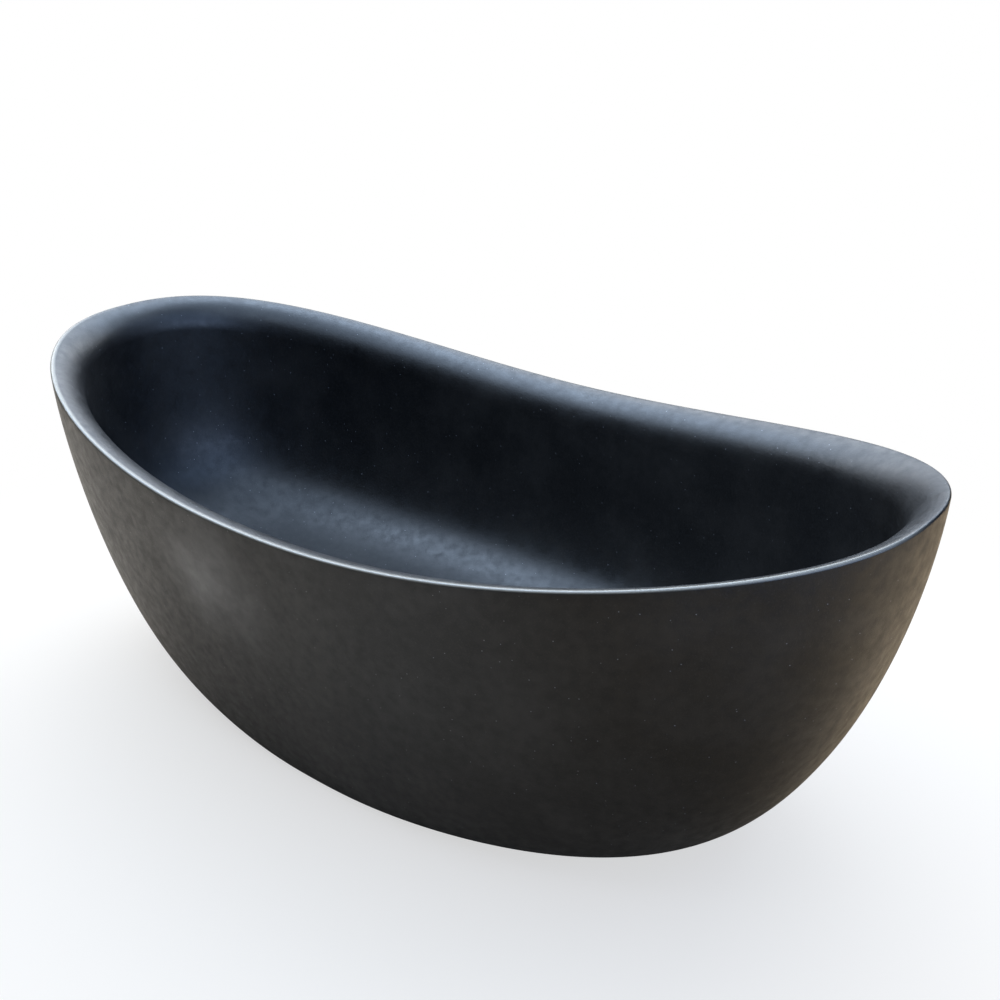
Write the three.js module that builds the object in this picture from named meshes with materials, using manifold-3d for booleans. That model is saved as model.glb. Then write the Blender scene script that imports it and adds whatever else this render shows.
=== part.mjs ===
// Freestanding double-slipper bathtub in cast stone, with its push-button waste and base pads.
// Units are millimetres. +Z is up, X runs along the bath, and the origin is on the floor
// under the middle of the bath, where the waste's axis meets it.

import * as THREE from "three";
import { mergeVertices } from "three/addons/utils/BufferGeometryUtils.js";
import Module from "manifold-3d";

// Bath: overall shape
const LENGTH = 1700;
const WIDTH = 900;
const RIM_END_HEIGHT = 640; // top of the rim at both raised ends
const RIM_MIDDLE_HEIGHT = 530; // top of the rim halfway along each side
const RIM_SWEEP = 1.27; // above 1 the rim rises early and levels out before the ends
const PLAN_POWER = 2.3; // 2 is an ellipse, and more squares the plan's corners
const BASE_LENGTH = 920;
const BASE_WIDTH = 640;

// Bath: outer wall, as two powers that round its foot and straighten its top
const END_WALL_TOP_POWER = 1.76;
const END_WALL_FOOT_POWER = 2.54;
const SIDE_WALL_TOP_POWER = 1;
const SIDE_WALL_FOOT_POWER = 1.35;

// Bath: rim and inside
const EDGE_RADIUS = 4; // outer top edge
const ROLL_RADIUS = 66; // the rim's crown rolls down into the bath on this radius
const SIDE_CROWN_LEAN = 2.5; // slope in degrees, down to the inside, where the roll starts
const END_CROWN_LEAN = 18;
const FLOOR_HEIGHT = 118; // inside floor at the waste, above the room's floor
const FLOOR_THICKNESS = 40;
const END_FLOOR_REACH = 0.95; // how far the floor's sweep aims towards the opening's edge
const SIDE_FLOOR_REACH = 0.97;
const WALL_SWEEP = 0.8; // share of the inner wall's height that its curve bends over

// Bath: underside
const BASE_RING_WIDTH = 70;
const RECESS_DRAFT = 8; // the plumbing recess narrows by this on its way up
const RECESS_FILLET = 20;

// Base pads
const PAD_COUNT = 6;
const PAD_RADIUS = 25;
const PAD_THICKNESS = 3;
const PAD_CHAMFER = 0.6;

// Waste: fits
const GAP = 0.3; // between faces that touch on the real assembly
const THREAD_CLEARANCE = 0.3; // from a thread to the nut or boss around it

// Waste: flange, tube and web
const TUBE_RADIUS = 23.9; // 1 1/2 inch pipe thread
const BORE_RADIUS = 20.5;
const HOLE_CLEARANCE = 2; // from the tube to the hole in the stone
const FLANGE_RADIUS = 35;
const FLANGE_THICKNESS = 5.3;
const FLANGE_LIP = 0.8; // rounding of the flange's top edge
const FLANGE_BELOW_FLOOR = 0.1;
const COUNTERBORE_CLEARANCE = 2.5;
const DISH_RADIUS = 30;
const DISH_DEPTH = 3.7;
const DISH_WALL = 3.5; // plan width of the dish's sloping side
const WEB_DEPTH = 26; // from the flange's top down to the web
const WEB_HEIGHT = 6;
const WEB_THICKNESS = 3.2;
const WEB_ARMS = 4;
const WEB_BOSS_WALL = 3.2;

// Waste: seals, washer and nuts
const FLANGE_SEAL_THICKNESS = 2;
const LOWER_SEAL_THICKNESS = 4;
const SEAL_RADIUS = 34;
const WASHER_THICKNESS = 1.5;
const BACKNUT_HEIGHT = 10;
const BACKNUT_FLATS = 62;
const BACKNUT_SIDES = 6;
const FREE_THREAD = 10; // thread left below the backnut for the tail nut
const TAIL_SEAL_THICKNESS = 2.5;
const TAIL_SEAL_WIDTH = 6;
const TAIL_NUT_WALL = 4.2;
const TAIL_NUT_WEB = 3;
const TAIL_NUT_GRIP = 6; // length of thread inside the tail nut
const TAIL_NUT_SIDES = 8;
const TAIL_TUBE_RADIUS = 20;
const TAIL_TUBE_WALL = 2;
const TAIL_FLANGE_THICKNESS = 2.5;
const TAIL_FLANGE_INSET = 0.9; // the tail's flange is smaller than the tube's thread
const OUTLET_HEIGHT = 12; // the tail's open end above the room's floor

// Waste: plug and push mechanism
const PLUG_TRAVEL = 8;
const PLUG_RADIUS = 31;
const PLUG_EDGE = 3;
const PLUG_CROWN = 2.4;
const PLUG_ROUNDING = 0.8;
const PLUG_CLOSED_GAP = 0.4; // from the closed plug to the flange, and from its seal to the ledge
const PLUG_SEAL_RADIUS = 25;
const PLUG_SEAL_BORE = 17;
const PLUG_BOSS_RADIUS = 7;
const PLUG_BOSS_DEPTH = 10.3;
const ROD_RADIUS = 3;
const ROD_GRIP = 7.7; // length of the rod inside the plug's boss
const ROD_FOOT_RADIUS = 4.7;
const ROD_FOOT_HEIGHT = 3;
const ROD_HEADROOM = 4; // from the rod's foot up to the cartridge's top plate
const CARTRIDGE_RADIUS = 7.5;
const CARTRIDGE_BORE = 5;
const CARTRIDGE_PLATE = 2; // thickness of its top and bottom
const CARTRIDGE_HEADROOM = 3; // from the closed plug's boss down to the cartridge
const COLLAR_WIDTH = 2.5;
const COLLAR_HEIGHT = 2.7;
const SPRING_LENGTH = 19.4; // while the plug is up
const SPRING_RADIUS = 3.9; // to the middle of the wire
const WIRE_RADIUS = 0.45;
const SPRING_TURNS = 7;

// How finely curves are divided
const SHELL_SIDES = 72;
const ROUND_SIDES = 48;
const PAD_SIDES = 32;
const INNER_STEPS = 14;
const ROLL_STEPS = 6;
const EDGE_STEPS = 2;
const OUTER_STEPS = 14;
const FILLET_STEPS = 3;
const CROWN_STEPS = 6;
const WIRE_SIDES = 6;
const STEPS_PER_TURN = 14;

// Heights and radii that follow from the sizes above
const FULL_TURN = Math.PI * 2;
const QUARTER_TURN = Math.PI / 2;
const BASE_HEIGHT = PAD_THICKNESS + GAP;
const UNDERSIDE = FLOOR_HEIGHT - FLOOR_THICKNESS;
const HOLE_RADIUS = TUBE_RADIUS + HOLE_CLEARANCE;
const COUNTERBORE_RADIUS = FLANGE_RADIUS + COUNTERBORE_CLEARANCE;
const FLANGE_TOP = FLOOR_HEIGHT - FLANGE_BELOW_FLOOR;
const FLANGE_BOTTOM = FLANGE_TOP - FLANGE_THICKNESS;
const SEAT_HEIGHT = FLANGE_BOTTOM - FLANGE_SEAL_THICKNESS - 2 * GAP;
const LEDGE_HEIGHT = FLANGE_TOP - DISH_DEPTH;
const THREADED_BORE = TUBE_RADIUS + THREAD_CLEARANCE;
const LOWER_SEAL_TOP = UNDERSIDE - GAP;
const WASHER_TOP = LOWER_SEAL_TOP - LOWER_SEAL_THICKNESS - GAP;
const BACKNUT_TOP = WASHER_TOP - WASHER_THICKNESS - GAP;
const BACKNUT_BOTTOM = BACKNUT_TOP - BACKNUT_HEIGHT;
const TUBE_BOTTOM = BACKNUT_BOTTOM - FREE_THREAD;
const TAIL_SEAL_TOP = TUBE_BOTTOM - GAP;
const TAIL_FLANGE_TOP = TAIL_SEAL_TOP - TAIL_SEAL_THICKNESS - GAP;
const TAIL_FLANGE_BOTTOM = TAIL_FLANGE_TOP - TAIL_FLANGE_THICKNESS;
const TAIL_FLANGE_RADIUS = TUBE_RADIUS - TAIL_FLANGE_INSET;
const WEB_TOP = FLANGE_TOP - WEB_DEPTH;
const WEB_BORE = CARTRIDGE_RADIUS + THREAD_CLEARANCE;
const PLUG_BOTTOM = FLANGE_TOP + PLUG_CLOSED_GAP + PLUG_TRAVEL;
const PLUG_SEAL_BOTTOM = LEDGE_HEIGHT + PLUG_CLOSED_GAP + PLUG_TRAVEL;
const PLUG_SEAL_TOP = PLUG_BOTTOM - GAP;
const PLUG_BOSS_BOTTOM = PLUG_BOTTOM - PLUG_BOSS_DEPTH;
const CARTRIDGE_TOP = PLUG_BOSS_BOTTOM - PLUG_TRAVEL - CARTRIDGE_HEADROOM;
const ROD_FOOT_TOP = CARTRIDGE_TOP - CARTRIDGE_PLATE - ROD_HEADROOM;
const ROD_FOOT_BOTTOM = ROD_FOOT_TOP - ROD_FOOT_HEIGHT;
const SPRING_BOTTOM = ROD_FOOT_BOTTOM - GAP - SPRING_LENGTH;
const CARTRIDGE_WELL = SPRING_BOTTOM - GAP;

const wasm = await Module();
wasm.setup();

/** Raises the size of a signed number to a power and keeps its sign. */
function signedPower(value, power) {
  return Math.sign(value) * Math.pow(Math.abs(value), power);
}

/** The point at an angle on the rounded-rectangle plan with the given half sizes. */
function planPoint(angle, halfLength, halfWidth) {
  const x = halfLength * signedPower(Math.cos(angle), 2 / PLAN_POWER);
  const y = halfWidth * signedPower(Math.sin(angle), 2 / PLAN_POWER);
  return new THREE.Vector2(x, y);
}

/** A point on the rim's outline, moved inwards square to the outline. */
function rimPlanPoint(angle, inset) {
  const point = planPoint(angle, LENGTH / 2, WIDTH / 2);
  const slopeX = signedPower(Math.cos(angle), (2 * (PLAN_POWER - 1)) / PLAN_POWER) / LENGTH;
  const slopeY = signedPower(Math.sin(angle), (2 * (PLAN_POWER - 1)) / PLAN_POWER) / WIDTH;
  const outward = new THREE.Vector2(slopeX, slopeY).normalize();
  return point.addScaledVector(outward, -inset);
}

/** How near an angle is to the bath's ends: 1 at an end, 0 halfway along a side. */
function endShare(angle) {
  return Math.pow(Math.abs(Math.cos(angle)), 4 / PLAN_POWER);
}

/** Height of the rim's top at an angle round the bath. */
function rimHeight(angle) {
  const share = endShare(angle);
  const rise = RIM_END_HEIGHT - RIM_MIDDLE_HEIGHT;
  return RIM_MIDDLE_HEIGHT + rise * (RIM_SWEEP * share + (1 - RIM_SWEEP) * share * share);
}

/** A value that goes from the side's to the end's round the bath. */
function blend(sideValue, endValue, angle) {
  return THREE.MathUtils.lerp(sideValue, endValue, endShare(angle));
}

/** Slope of the crown where the roll starts from the outer edge. */
function crownLean(angle) {
  return THREE.MathUtils.degToRad(blend(SIDE_CROWN_LEAN, END_CROWN_LEAN, angle));
}

/** The point on the roll where its surface slopes down to the inside by the given turn. */
function rollPoint(angle, turn) {
  const lean = crownLean(angle);
  const spare = ROLL_RADIUS - EDGE_RADIUS;
  const inset = EDGE_RADIUS + ROLL_RADIUS * Math.sin(turn) - spare * Math.sin(lean);
  const drop = EDGE_RADIUS - ROLL_RADIUS * Math.cos(turn) + spare * Math.cos(lean);
  const plan = rimPlanPoint(angle, inset);
  return new THREE.Vector3(plan.x, plan.y, rimHeight(angle) - drop);
}

/** One closed ring of points round the bath, from a function of the angle. */
function ring(pointAt) {
  const points = [];
  for (let i = 0; i < SHELL_SIDES; i += 1) {
    points.push(pointAt((i / SHELL_SIDES) * FULL_TURN));
  }
  return points;
}

/** A round ring about the waste's axis. */
function roundRing(radius, height) {
  return ring((angle) => {
    const plan = planPoint(angle, 1, 1).setLength(radius);
    return new THREE.Vector3(plan.x, plan.y, height);
  });
}

/** Rings of the hole for the waste and the counterbore that its flange lies in. */
function holeRings() {
  return [
    roundRing(HOLE_RADIUS, UNDERSIDE),
    roundRing(HOLE_RADIUS, SEAT_HEIGHT),
    roundRing(COUNTERBORE_RADIUS, SEAT_HEIGHT),
  ];
}

/** A ring on the floor and inner wall, one sweep from the counterbore to the foot of the roll. */
function innerRing(step) {
  return ring((angle) => {
    const start = planPoint(angle, 1, 1).setLength(COUNTERBORE_RADIUS);
    const opening = rollPoint(angle, QUARTER_TURN);
    const reach = blend(SIDE_FLOOR_REACH, END_FLOOR_REACH, angle);
    const bend = opening.z - WALL_SWEEP * (opening.z - FLOOR_HEIGHT);
    const sweep = new THREE.CubicBezierCurve3(
      new THREE.Vector3(start.x, start.y, FLOOR_HEIGHT),
      new THREE.Vector3(opening.x * reach, opening.y * reach, FLOOR_HEIGHT),
      new THREE.Vector3(opening.x, opening.y, bend),
      opening,
    );
    return sweep.getPoint(step / INNER_STEPS);
  });
}

/** A ring on the roll, from its foot inside the bath to its crown. */
function rollRing(step) {
  return ring((angle) => {
    return rollPoint(angle, THREE.MathUtils.lerp(QUARTER_TURN, crownLean(angle), step / ROLL_STEPS));
  });
}

/** A ring on the small rounding of the outer top edge. */
function edgeRing(step) {
  const turn = (step / EDGE_STEPS) * QUARTER_TURN;
  return ring((angle) => {
    const plan = rimPlanPoint(angle, EDGE_RADIUS * (1 - Math.sin(turn)));
    return new THREE.Vector3(plan.x, plan.y, rimHeight(angle) - EDGE_RADIUS * (1 - Math.cos(turn)));
  });
}

/** A ring on the outer wall: step 0 is its foot, and the last is under the edge's rounding. */
function outerRing(step) {
  const height = Math.pow(step / OUTER_STEPS, 2);
  return ring((angle) => {
    const topPower = blend(SIDE_WALL_TOP_POWER, END_WALL_TOP_POWER, angle);
    const footPower = blend(SIDE_WALL_FOOT_POWER, END_WALL_FOOT_POWER, angle);
    const flare = Math.pow(1 - Math.pow(1 - height, topPower), 1 / footPower);
    const foot = planPoint(angle, BASE_LENGTH / 2, BASE_WIDTH / 2);
    const plan = foot.lerp(rimPlanPoint(angle, 0), flare);
    const top = rimHeight(angle) - EDGE_RADIUS;
    return new THREE.Vector3(plan.x, plan.y, THREE.MathUtils.lerp(BASE_HEIGHT, top, height));
  });
}

/** A ring on the underside, inset from the foot of the outer wall. */
function undersideRing(inset, height) {
  return ring((angle) => {
    const plan = planPoint(angle, BASE_LENGTH / 2 - inset, BASE_WIDTH / 2 - inset);
    return new THREE.Vector3(plan.x, plan.y, height);
  });
}

/** Rings of the plumbing recess, from the base ring's inner edge to its filleted ceiling. */
function recessRings() {
  const rings = [undersideRing(BASE_RING_WIDTH, BASE_HEIGHT)];
  const wallTop = BASE_RING_WIDTH + RECESS_DRAFT;
  for (let step = 0; step <= FILLET_STEPS; step += 1) {
    const turn = (step / FILLET_STEPS) * QUARTER_TURN;
    const inset = wallTop + RECESS_FILLET * (1 - Math.cos(turn));
    rings.push(undersideRing(inset, UNDERSIDE - RECESS_FILLET * (1 - Math.sin(turn))));
  }
  return rings;
}

/** A list of rings from a function of the step, first and last included. */
function ringsFor(first, last, ringAt) {
  const direction = Math.sign(last - first);
  const rings = [];
  for (let step = first; step !== last + direction; step += direction) {
    rings.push(ringAt(step));
  }
  return rings;
}

/** Skins a loop of rings, in which the last ring joins the first again. */
function loopGeometry(rings) {
  const positions = [];
  const faces = [];
  for (const points of rings) {
    for (const point of points) {
      positions.push(point.x, point.y, point.z);
    }
  }
  for (let i = 0; i < rings.length; i += 1) {
    const here = i * SHELL_SIDES;
    const next = ((i + 1) % rings.length) * SHELL_SIDES;
    for (let j = 0; j < SHELL_SIDES; j += 1) {
      const k = (j + 1) % SHELL_SIDES;
      faces.push(here + j, next + j, next + k);
      faces.push(here + j, next + k, here + k);
    }
  }
  const geometry = new THREE.BufferGeometry();
  geometry.setAttribute("position", new THREE.Float32BufferAttribute(positions, 3));
  geometry.setIndex(faces);
  return geometry;
}

/** The one-piece bath: basin, rolled rim, outer wall, base ring and plumbing recess. */
function shellGeometry() {
  return loopGeometry([
    ...holeRings(),
    ...ringsFor(0, INNER_STEPS, innerRing),
    ...ringsFor(1, ROLL_STEPS - 1, rollRing),
    ...ringsFor(0, EDGE_STEPS, edgeRing),
    ...ringsFor(OUTER_STEPS - 1, 0, outerRing),
    ...recessRings(),
  ]);
}

/** Turns an outline of [radius, height] pairs about the Z axis. */
function turned(outline, sides = ROUND_SIDES) {
  const points = outline.map(([radius, height]) => new THREE.Vector2(radius, height));
  return new THREE.LatheGeometry(points, sides).rotateX(QUARTER_TURN);
}

/** A flat ring between two radii and two heights. */
function ringGeometry(inner, outer, bottom, top, sides = ROUND_SIDES) {
  const outline = [
    [inner, bottom],
    [outer, bottom],
    [outer, top],
    [inner, top],
    [inner, bottom],
  ];
  return turned(outline, sides);
}

/** A solid disc or rod on the Z axis. */
function discGeometry(radius, bottom, top) {
  const outline = [
    [0, bottom],
    [radius, bottom],
    [radius, top],
    [0, top],
  ];
  return turned(outline);
}

/** A regular prism with the given width across its flats. */
function prismGeometry(sides, flats, bottom, top) {
  const corner = flats / 2 / Math.cos(Math.PI / sides);
  const shape = new THREE.Shape();
  for (let i = 0; i < sides; i += 1) {
    const angle = ((i + 0.5) / sides) * FULL_TURN;
    const place = new THREE.Vector2(Math.cos(angle), Math.sin(angle)).multiplyScalar(corner);
    if (i === 0) {
      shape.moveTo(place.x, place.y);
    } else {
      shape.lineTo(place.x, place.y);
    }
  }
  shape.closePath();
  const settings = { depth: top - bottom, bevelEnabled: false };
  return new THREE.ExtrudeGeometry(shape, settings).translate(0, 0, bottom);
}

/** Makes a solid that can be joined and cut from a closed geometry. */
function solidOf(geometry) {
  const bare = geometry.clone();
  bare.deleteAttribute("normal");
  bare.deleteAttribute("uv");
  const merged = mergeVertices(bare);
  const vertProperties = new Float32Array(merged.getAttribute("position").array);
  const triVerts = new Uint32Array(merged.getIndex().array);
  return new wasm.Manifold(new wasm.Mesh({ numProp: 3, vertProperties, triVerts }));
}

/** Turns a joined and cut solid back into a geometry. */
function geometryOf(solid) {
  const mesh = solid.getMesh();
  const geometry = new THREE.BufferGeometry();
  geometry.setAttribute("position", new THREE.BufferAttribute(mesh.vertProperties, 3));
  geometry.setIndex(new THREE.BufferAttribute(mesh.triVerts, 1));
  return geometry;
}

/** The waste's dished flange and threaded tube in one turned piece. */
function flangeAndTube() {
  return turned([
    [BORE_RADIUS, TUBE_BOTTOM],
    [TUBE_RADIUS, TUBE_BOTTOM],
    [TUBE_RADIUS, FLANGE_BOTTOM],
    [FLANGE_RADIUS, FLANGE_BOTTOM],
    [FLANGE_RADIUS, FLANGE_TOP - FLANGE_LIP],
    [FLANGE_RADIUS - FLANGE_LIP, FLANGE_TOP],
    [DISH_RADIUS, FLANGE_TOP],
    [DISH_RADIUS - DISH_WALL, LEDGE_HEIGHT],
    [BORE_RADIUS, LEDGE_HEIGHT],
    [BORE_RADIUS, TUBE_BOTTOM],
  ]);
}

/** The flange and tube with the web of arms that holds the push cartridge. */
function wasteFlangeGeometry() {
  const bottom = WEB_TOP - WEB_HEIGHT;
  let body = solidOf(flangeAndTube());
  body = body.add(solidOf(discGeometry(WEB_BORE + WEB_BOSS_WALL, bottom, WEB_TOP)));
  const reach = (BORE_RADIUS + TUBE_RADIUS) / 2;
  for (let i = 0; i < WEB_ARMS; i += 1) {
    const arm = new THREE.BoxGeometry(reach, WEB_THICKNESS, WEB_HEIGHT);
    arm.translate(reach / 2, 0, (bottom + WEB_TOP) / 2);
    arm.rotateZ(((i + 0.5) / WEB_ARMS) * FULL_TURN);
    body = body.add(solidOf(arm));
  }
  const bore = discGeometry(WEB_BORE, bottom - WEB_HEIGHT, WEB_TOP + WEB_HEIGHT);
  return geometryOf(body.subtract(solidOf(bore)));
}

/** The six-sided nut that clamps the waste from below. */
function backnutGeometry() {
  const body = solidOf(prismGeometry(BACKNUT_SIDES, BACKNUT_FLATS, BACKNUT_BOTTOM, BACKNUT_TOP));
  const bore = discGeometry(THREADED_BORE, BACKNUT_BOTTOM - GAP, BACKNUT_TOP + GAP);
  return geometryOf(body.subtract(solidOf(bore)));
}

/** The cup-shaped nut that holds the tail against the end of the tube. */
function tailNutGeometry() {
  const webTop = TAIL_FLANGE_BOTTOM - GAP;
  const bottom = webTop - TAIL_NUT_WEB;
  const top = TUBE_BOTTOM + TAIL_NUT_GRIP;
  const flats = 2 * (THREADED_BORE + TAIL_NUT_WALL);
  const body = solidOf(prismGeometry(TAIL_NUT_SIDES, flats, bottom, top));
  const cup = discGeometry(THREADED_BORE, webTop, top + GAP);
  const passage = discGeometry(TAIL_TUBE_RADIUS + THREAD_CLEARANCE, bottom - GAP, webTop + GAP);
  return geometryOf(body.subtract(solidOf(cup)).subtract(solidOf(passage)));
}

/** The flanged pipe that carries the water down to the building's drain. */
function tailpieceGeometry() {
  const bore = TAIL_TUBE_RADIUS - TAIL_TUBE_WALL;
  return turned([
    [bore, OUTLET_HEIGHT],
    [TAIL_TUBE_RADIUS, OUTLET_HEIGHT],
    [TAIL_TUBE_RADIUS, TAIL_FLANGE_BOTTOM],
    [TAIL_FLANGE_RADIUS, TAIL_FLANGE_BOTTOM],
    [TAIL_FLANGE_RADIUS, TAIL_FLANGE_TOP],
    [bore, TAIL_FLANGE_TOP],
    [bore, OUTLET_HEIGHT],
  ]);
}

/** The push cartridge's housing: a well for the spring, a collar and a top plate with a hole. */
function cartridgeGeometry() {
  const collarBottom = WEB_TOP + GAP;
  const collar = CARTRIDGE_RADIUS + COLLAR_WIDTH;
  return turned([
    [0, CARTRIDGE_WELL - CARTRIDGE_PLATE],
    [CARTRIDGE_RADIUS, CARTRIDGE_WELL - CARTRIDGE_PLATE],
    [CARTRIDGE_RADIUS, collarBottom],
    [collar, collarBottom],
    [collar, collarBottom + COLLAR_HEIGHT],
    [CARTRIDGE_RADIUS, collarBottom + COLLAR_HEIGHT],
    [CARTRIDGE_RADIUS, CARTRIDGE_TOP],
    [ROD_RADIUS + GAP, CARTRIDGE_TOP],
    [ROD_RADIUS + GAP, CARTRIDGE_TOP - CARTRIDGE_PLATE],
    [CARTRIDGE_BORE, CARTRIDGE_TOP - CARTRIDGE_PLATE],
    [CARTRIDGE_BORE, CARTRIDGE_WELL],
    [0, CARTRIDGE_WELL],
  ]);
}

/** The rod that carries the plug, with the foot that the spring pushes. */
function plungerGeometry() {
  const top = PLUG_BOSS_BOTTOM + ROD_GRIP;
  return turned([
    [0, ROD_FOOT_BOTTOM],
    [ROD_FOOT_RADIUS, ROD_FOOT_BOTTOM],
    [ROD_FOOT_RADIUS, ROD_FOOT_TOP],
    [ROD_RADIUS, ROD_FOOT_TOP],
    [ROD_RADIUS, top],
    [0, top],
  ]);
}

/** The centre line of the cartridge's spring. */
class SpringLine extends THREE.Curve {
  getPoint(share, target = new THREE.Vector3()) {
    const angle = share * SPRING_TURNS * FULL_TURN;
    const rise = SPRING_LENGTH - 2 * WIRE_RADIUS;
    const height = SPRING_BOTTOM + WIRE_RADIUS + share * rise;
    return target.set(SPRING_RADIUS * Math.cos(angle), SPRING_RADIUS * Math.sin(angle), height);
  }
}

/** The coil spring that lifts the plug. */
function springGeometry() {
  const section = new THREE.Shape();
  for (let i = 0; i <= WIRE_SIDES; i += 1) {
    const angle = (i / WIRE_SIDES) * FULL_TURN;
    const x = WIRE_RADIUS * Math.cos(angle);
    const y = WIRE_RADIUS * Math.sin(angle);
    if (i === 0) {
      section.moveTo(x, y);
    } else {
      section.lineTo(x, y);
    }
  }
  const steps = SPRING_TURNS * STEPS_PER_TURN;
  return new THREE.ExtrudeGeometry(section, { steps, extrudePath: new SpringLine() });
}

/** The crowned plug with its spigot for the seal and its boss for the rod. */
function plugCapGeometry() {
  const spigot = PLUG_SEAL_BORE - GAP;
  const edgeTop = PLUG_BOTTOM + PLUG_EDGE;
  const boreTop = PLUG_BOSS_BOTTOM + ROD_GRIP + GAP;
  const outline = [
    [0, boreTop],
    [ROD_RADIUS + GAP, boreTop],
    [ROD_RADIUS + GAP, PLUG_BOSS_BOTTOM],
    [PLUG_BOSS_RADIUS, PLUG_BOSS_BOTTOM],
    [PLUG_BOSS_RADIUS, PLUG_SEAL_BOTTOM],
    [spigot, PLUG_SEAL_BOTTOM],
    [spigot, PLUG_BOTTOM],
    [PLUG_RADIUS - PLUG_ROUNDING, PLUG_BOTTOM],
    [PLUG_RADIUS, PLUG_BOTTOM + PLUG_ROUNDING],
    [PLUG_RADIUS, edgeTop - PLUG_ROUNDING],
  ];
  for (let i = CROWN_STEPS; i >= 0; i -= 1) {
    const share = i / CROWN_STEPS;
    const radius = (PLUG_RADIUS - PLUG_ROUNDING) * share;
    outline.push([radius, edgeTop + PLUG_CROWN * (1 - share * share)]);
  }
  return turned(outline);
}

/** One chamfered rubber pad, with its underside on the room's floor. */
function padGeometry() {
  const outline = [
    [0, 0],
    [PAD_RADIUS - PAD_CHAMFER, 0],
    [PAD_RADIUS, PAD_CHAMFER],
    [PAD_RADIUS, PAD_THICKNESS],
    [0, PAD_THICKNESS],
  ];
  return turned(outline, PAD_SIDES);
}

/** A named mesh of one piece in its finish. */
function piece(name, geometry, finish) {
  const mesh = new THREE.Mesh(geometry, finish);
  mesh.name = name;
  return mesh;
}

const stone = new THREE.MeshStandardMaterial({ color: 0x26272a, roughness: 0.45, metalness: 0 });
const chrome = new THREE.MeshStandardMaterial({ color: 0xc9ccd0, roughness: 0.12, metalness: 1 });
const brass = new THREE.MeshStandardMaterial({ color: 0xb08d4c, roughness: 0.35, metalness: 1 });
const steel = new THREE.MeshStandardMaterial({ color: 0x9fa2a5, roughness: 0.3, metalness: 1 });
const rubber = new THREE.MeshStandardMaterial({ color: 0x1b1b1c, roughness: 0.85, metalness: 0 });
const plastic = new THREE.MeshStandardMaterial({ color: 0xe4e4e0, roughness: 0.5, metalness: 0 });

/** The waste from the flange to the tail, without the pieces that rise with the plug. */
function wasteGroup() {
  const flangeSealBottom = SEAT_HEIGHT + GAP;
  const flangeSealTop = flangeSealBottom + FLANGE_SEAL_THICKNESS;
  const lowerSealBottom = LOWER_SEAL_TOP - LOWER_SEAL_THICKNESS;
  const washerBottom = WASHER_TOP - WASHER_THICKNESS;
  const tailSealBottom = TAIL_SEAL_TOP - TAIL_SEAL_THICKNESS;
  const tailSealBore = TAIL_FLANGE_RADIUS - TAIL_SEAL_WIDTH;
  const upperSeal = ringGeometry(THREADED_BORE, SEAL_RADIUS, flangeSealBottom, flangeSealTop);
  const lowerSeal = ringGeometry(THREADED_BORE, SEAL_RADIUS, lowerSealBottom, LOWER_SEAL_TOP);
  const washer = ringGeometry(THREADED_BORE, SEAL_RADIUS, washerBottom, WASHER_TOP);
  const tailSeal = ringGeometry(tailSealBore, TAIL_FLANGE_RADIUS, tailSealBottom, TAIL_SEAL_TOP);
  const group = new THREE.Group();
  group.add(piece("waste_flange", wasteFlangeGeometry(), chrome));
  group.add(piece("flange_seal", upperSeal, rubber));
  group.add(piece("lower_seal", lowerSeal, rubber));
  group.add(piece("slip_washer", washer, plastic));
  group.add(piece("backnut", backnutGeometry(), brass));
  group.add(piece("click_cartridge", cartridgeGeometry(), brass));
  group.add(piece("cartridge_spring", springGeometry(), steel));
  group.add(piece("tail_seal", tailSeal, rubber));
  group.add(piece("tailpiece", tailpieceGeometry(), chrome));
  group.add(piece("tail_nut", tailNutGeometry(), chrome));
  return group;
}

/** The pieces that rise and fall together when the plug is pressed. */
function plugGroup() {
  const seal = ringGeometry(PLUG_SEAL_BORE, PLUG_SEAL_RADIUS, PLUG_SEAL_BOTTOM, PLUG_SEAL_TOP);
  const group = new THREE.Group();
  group.add(piece("plug_cap", plugCapGeometry(), chrome));
  group.add(piece("plug_seal", seal, rubber));
  group.add(piece("cartridge_plunger", plungerGeometry(), brass));
  return group;
}

/** The pads under the base ring, spread evenly round its middle line. */
function padGroup() {
  const group = new THREE.Group();
  const inset = BASE_RING_WIDTH / 2;
  for (let i = 0; i < PAD_COUNT; i += 1) {
    const angle = (i / PAD_COUNT) * FULL_TURN;
    const place = planPoint(angle, BASE_LENGTH / 2 - inset, BASE_WIDTH / 2 - inset);
    const pad = piece(`base_pad_${i + 1}`, padGeometry(), rubber);
    pad.position.set(place.x, place.y, 0);
    group.add(pad);
  }
  return group;
}

const bath = new THREE.Group();
bath.add(piece("tub_shell", shellGeometry(), stone));
bath.add(wasteGroup());
bath.add(plugGroup());
bath.add(padGroup());

export default bath;
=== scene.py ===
"""Looks of a freestanding double-slipper bath in black cast stone with a push-button waste.

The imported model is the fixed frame. The bath's body is made afresh as one smooth surface
from the same rule as the frame's faceted one, and the waste and the pads become turned and
cut pieces with threads, chamfers, ribs and fillets. Sizes are in metres.
"""

import logging
import math
from dataclasses import dataclass, fields
from enum import Enum
from typing import Iterable, Sequence

import bmesh
import bpy
from mathutils import Matrix, Vector


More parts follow.
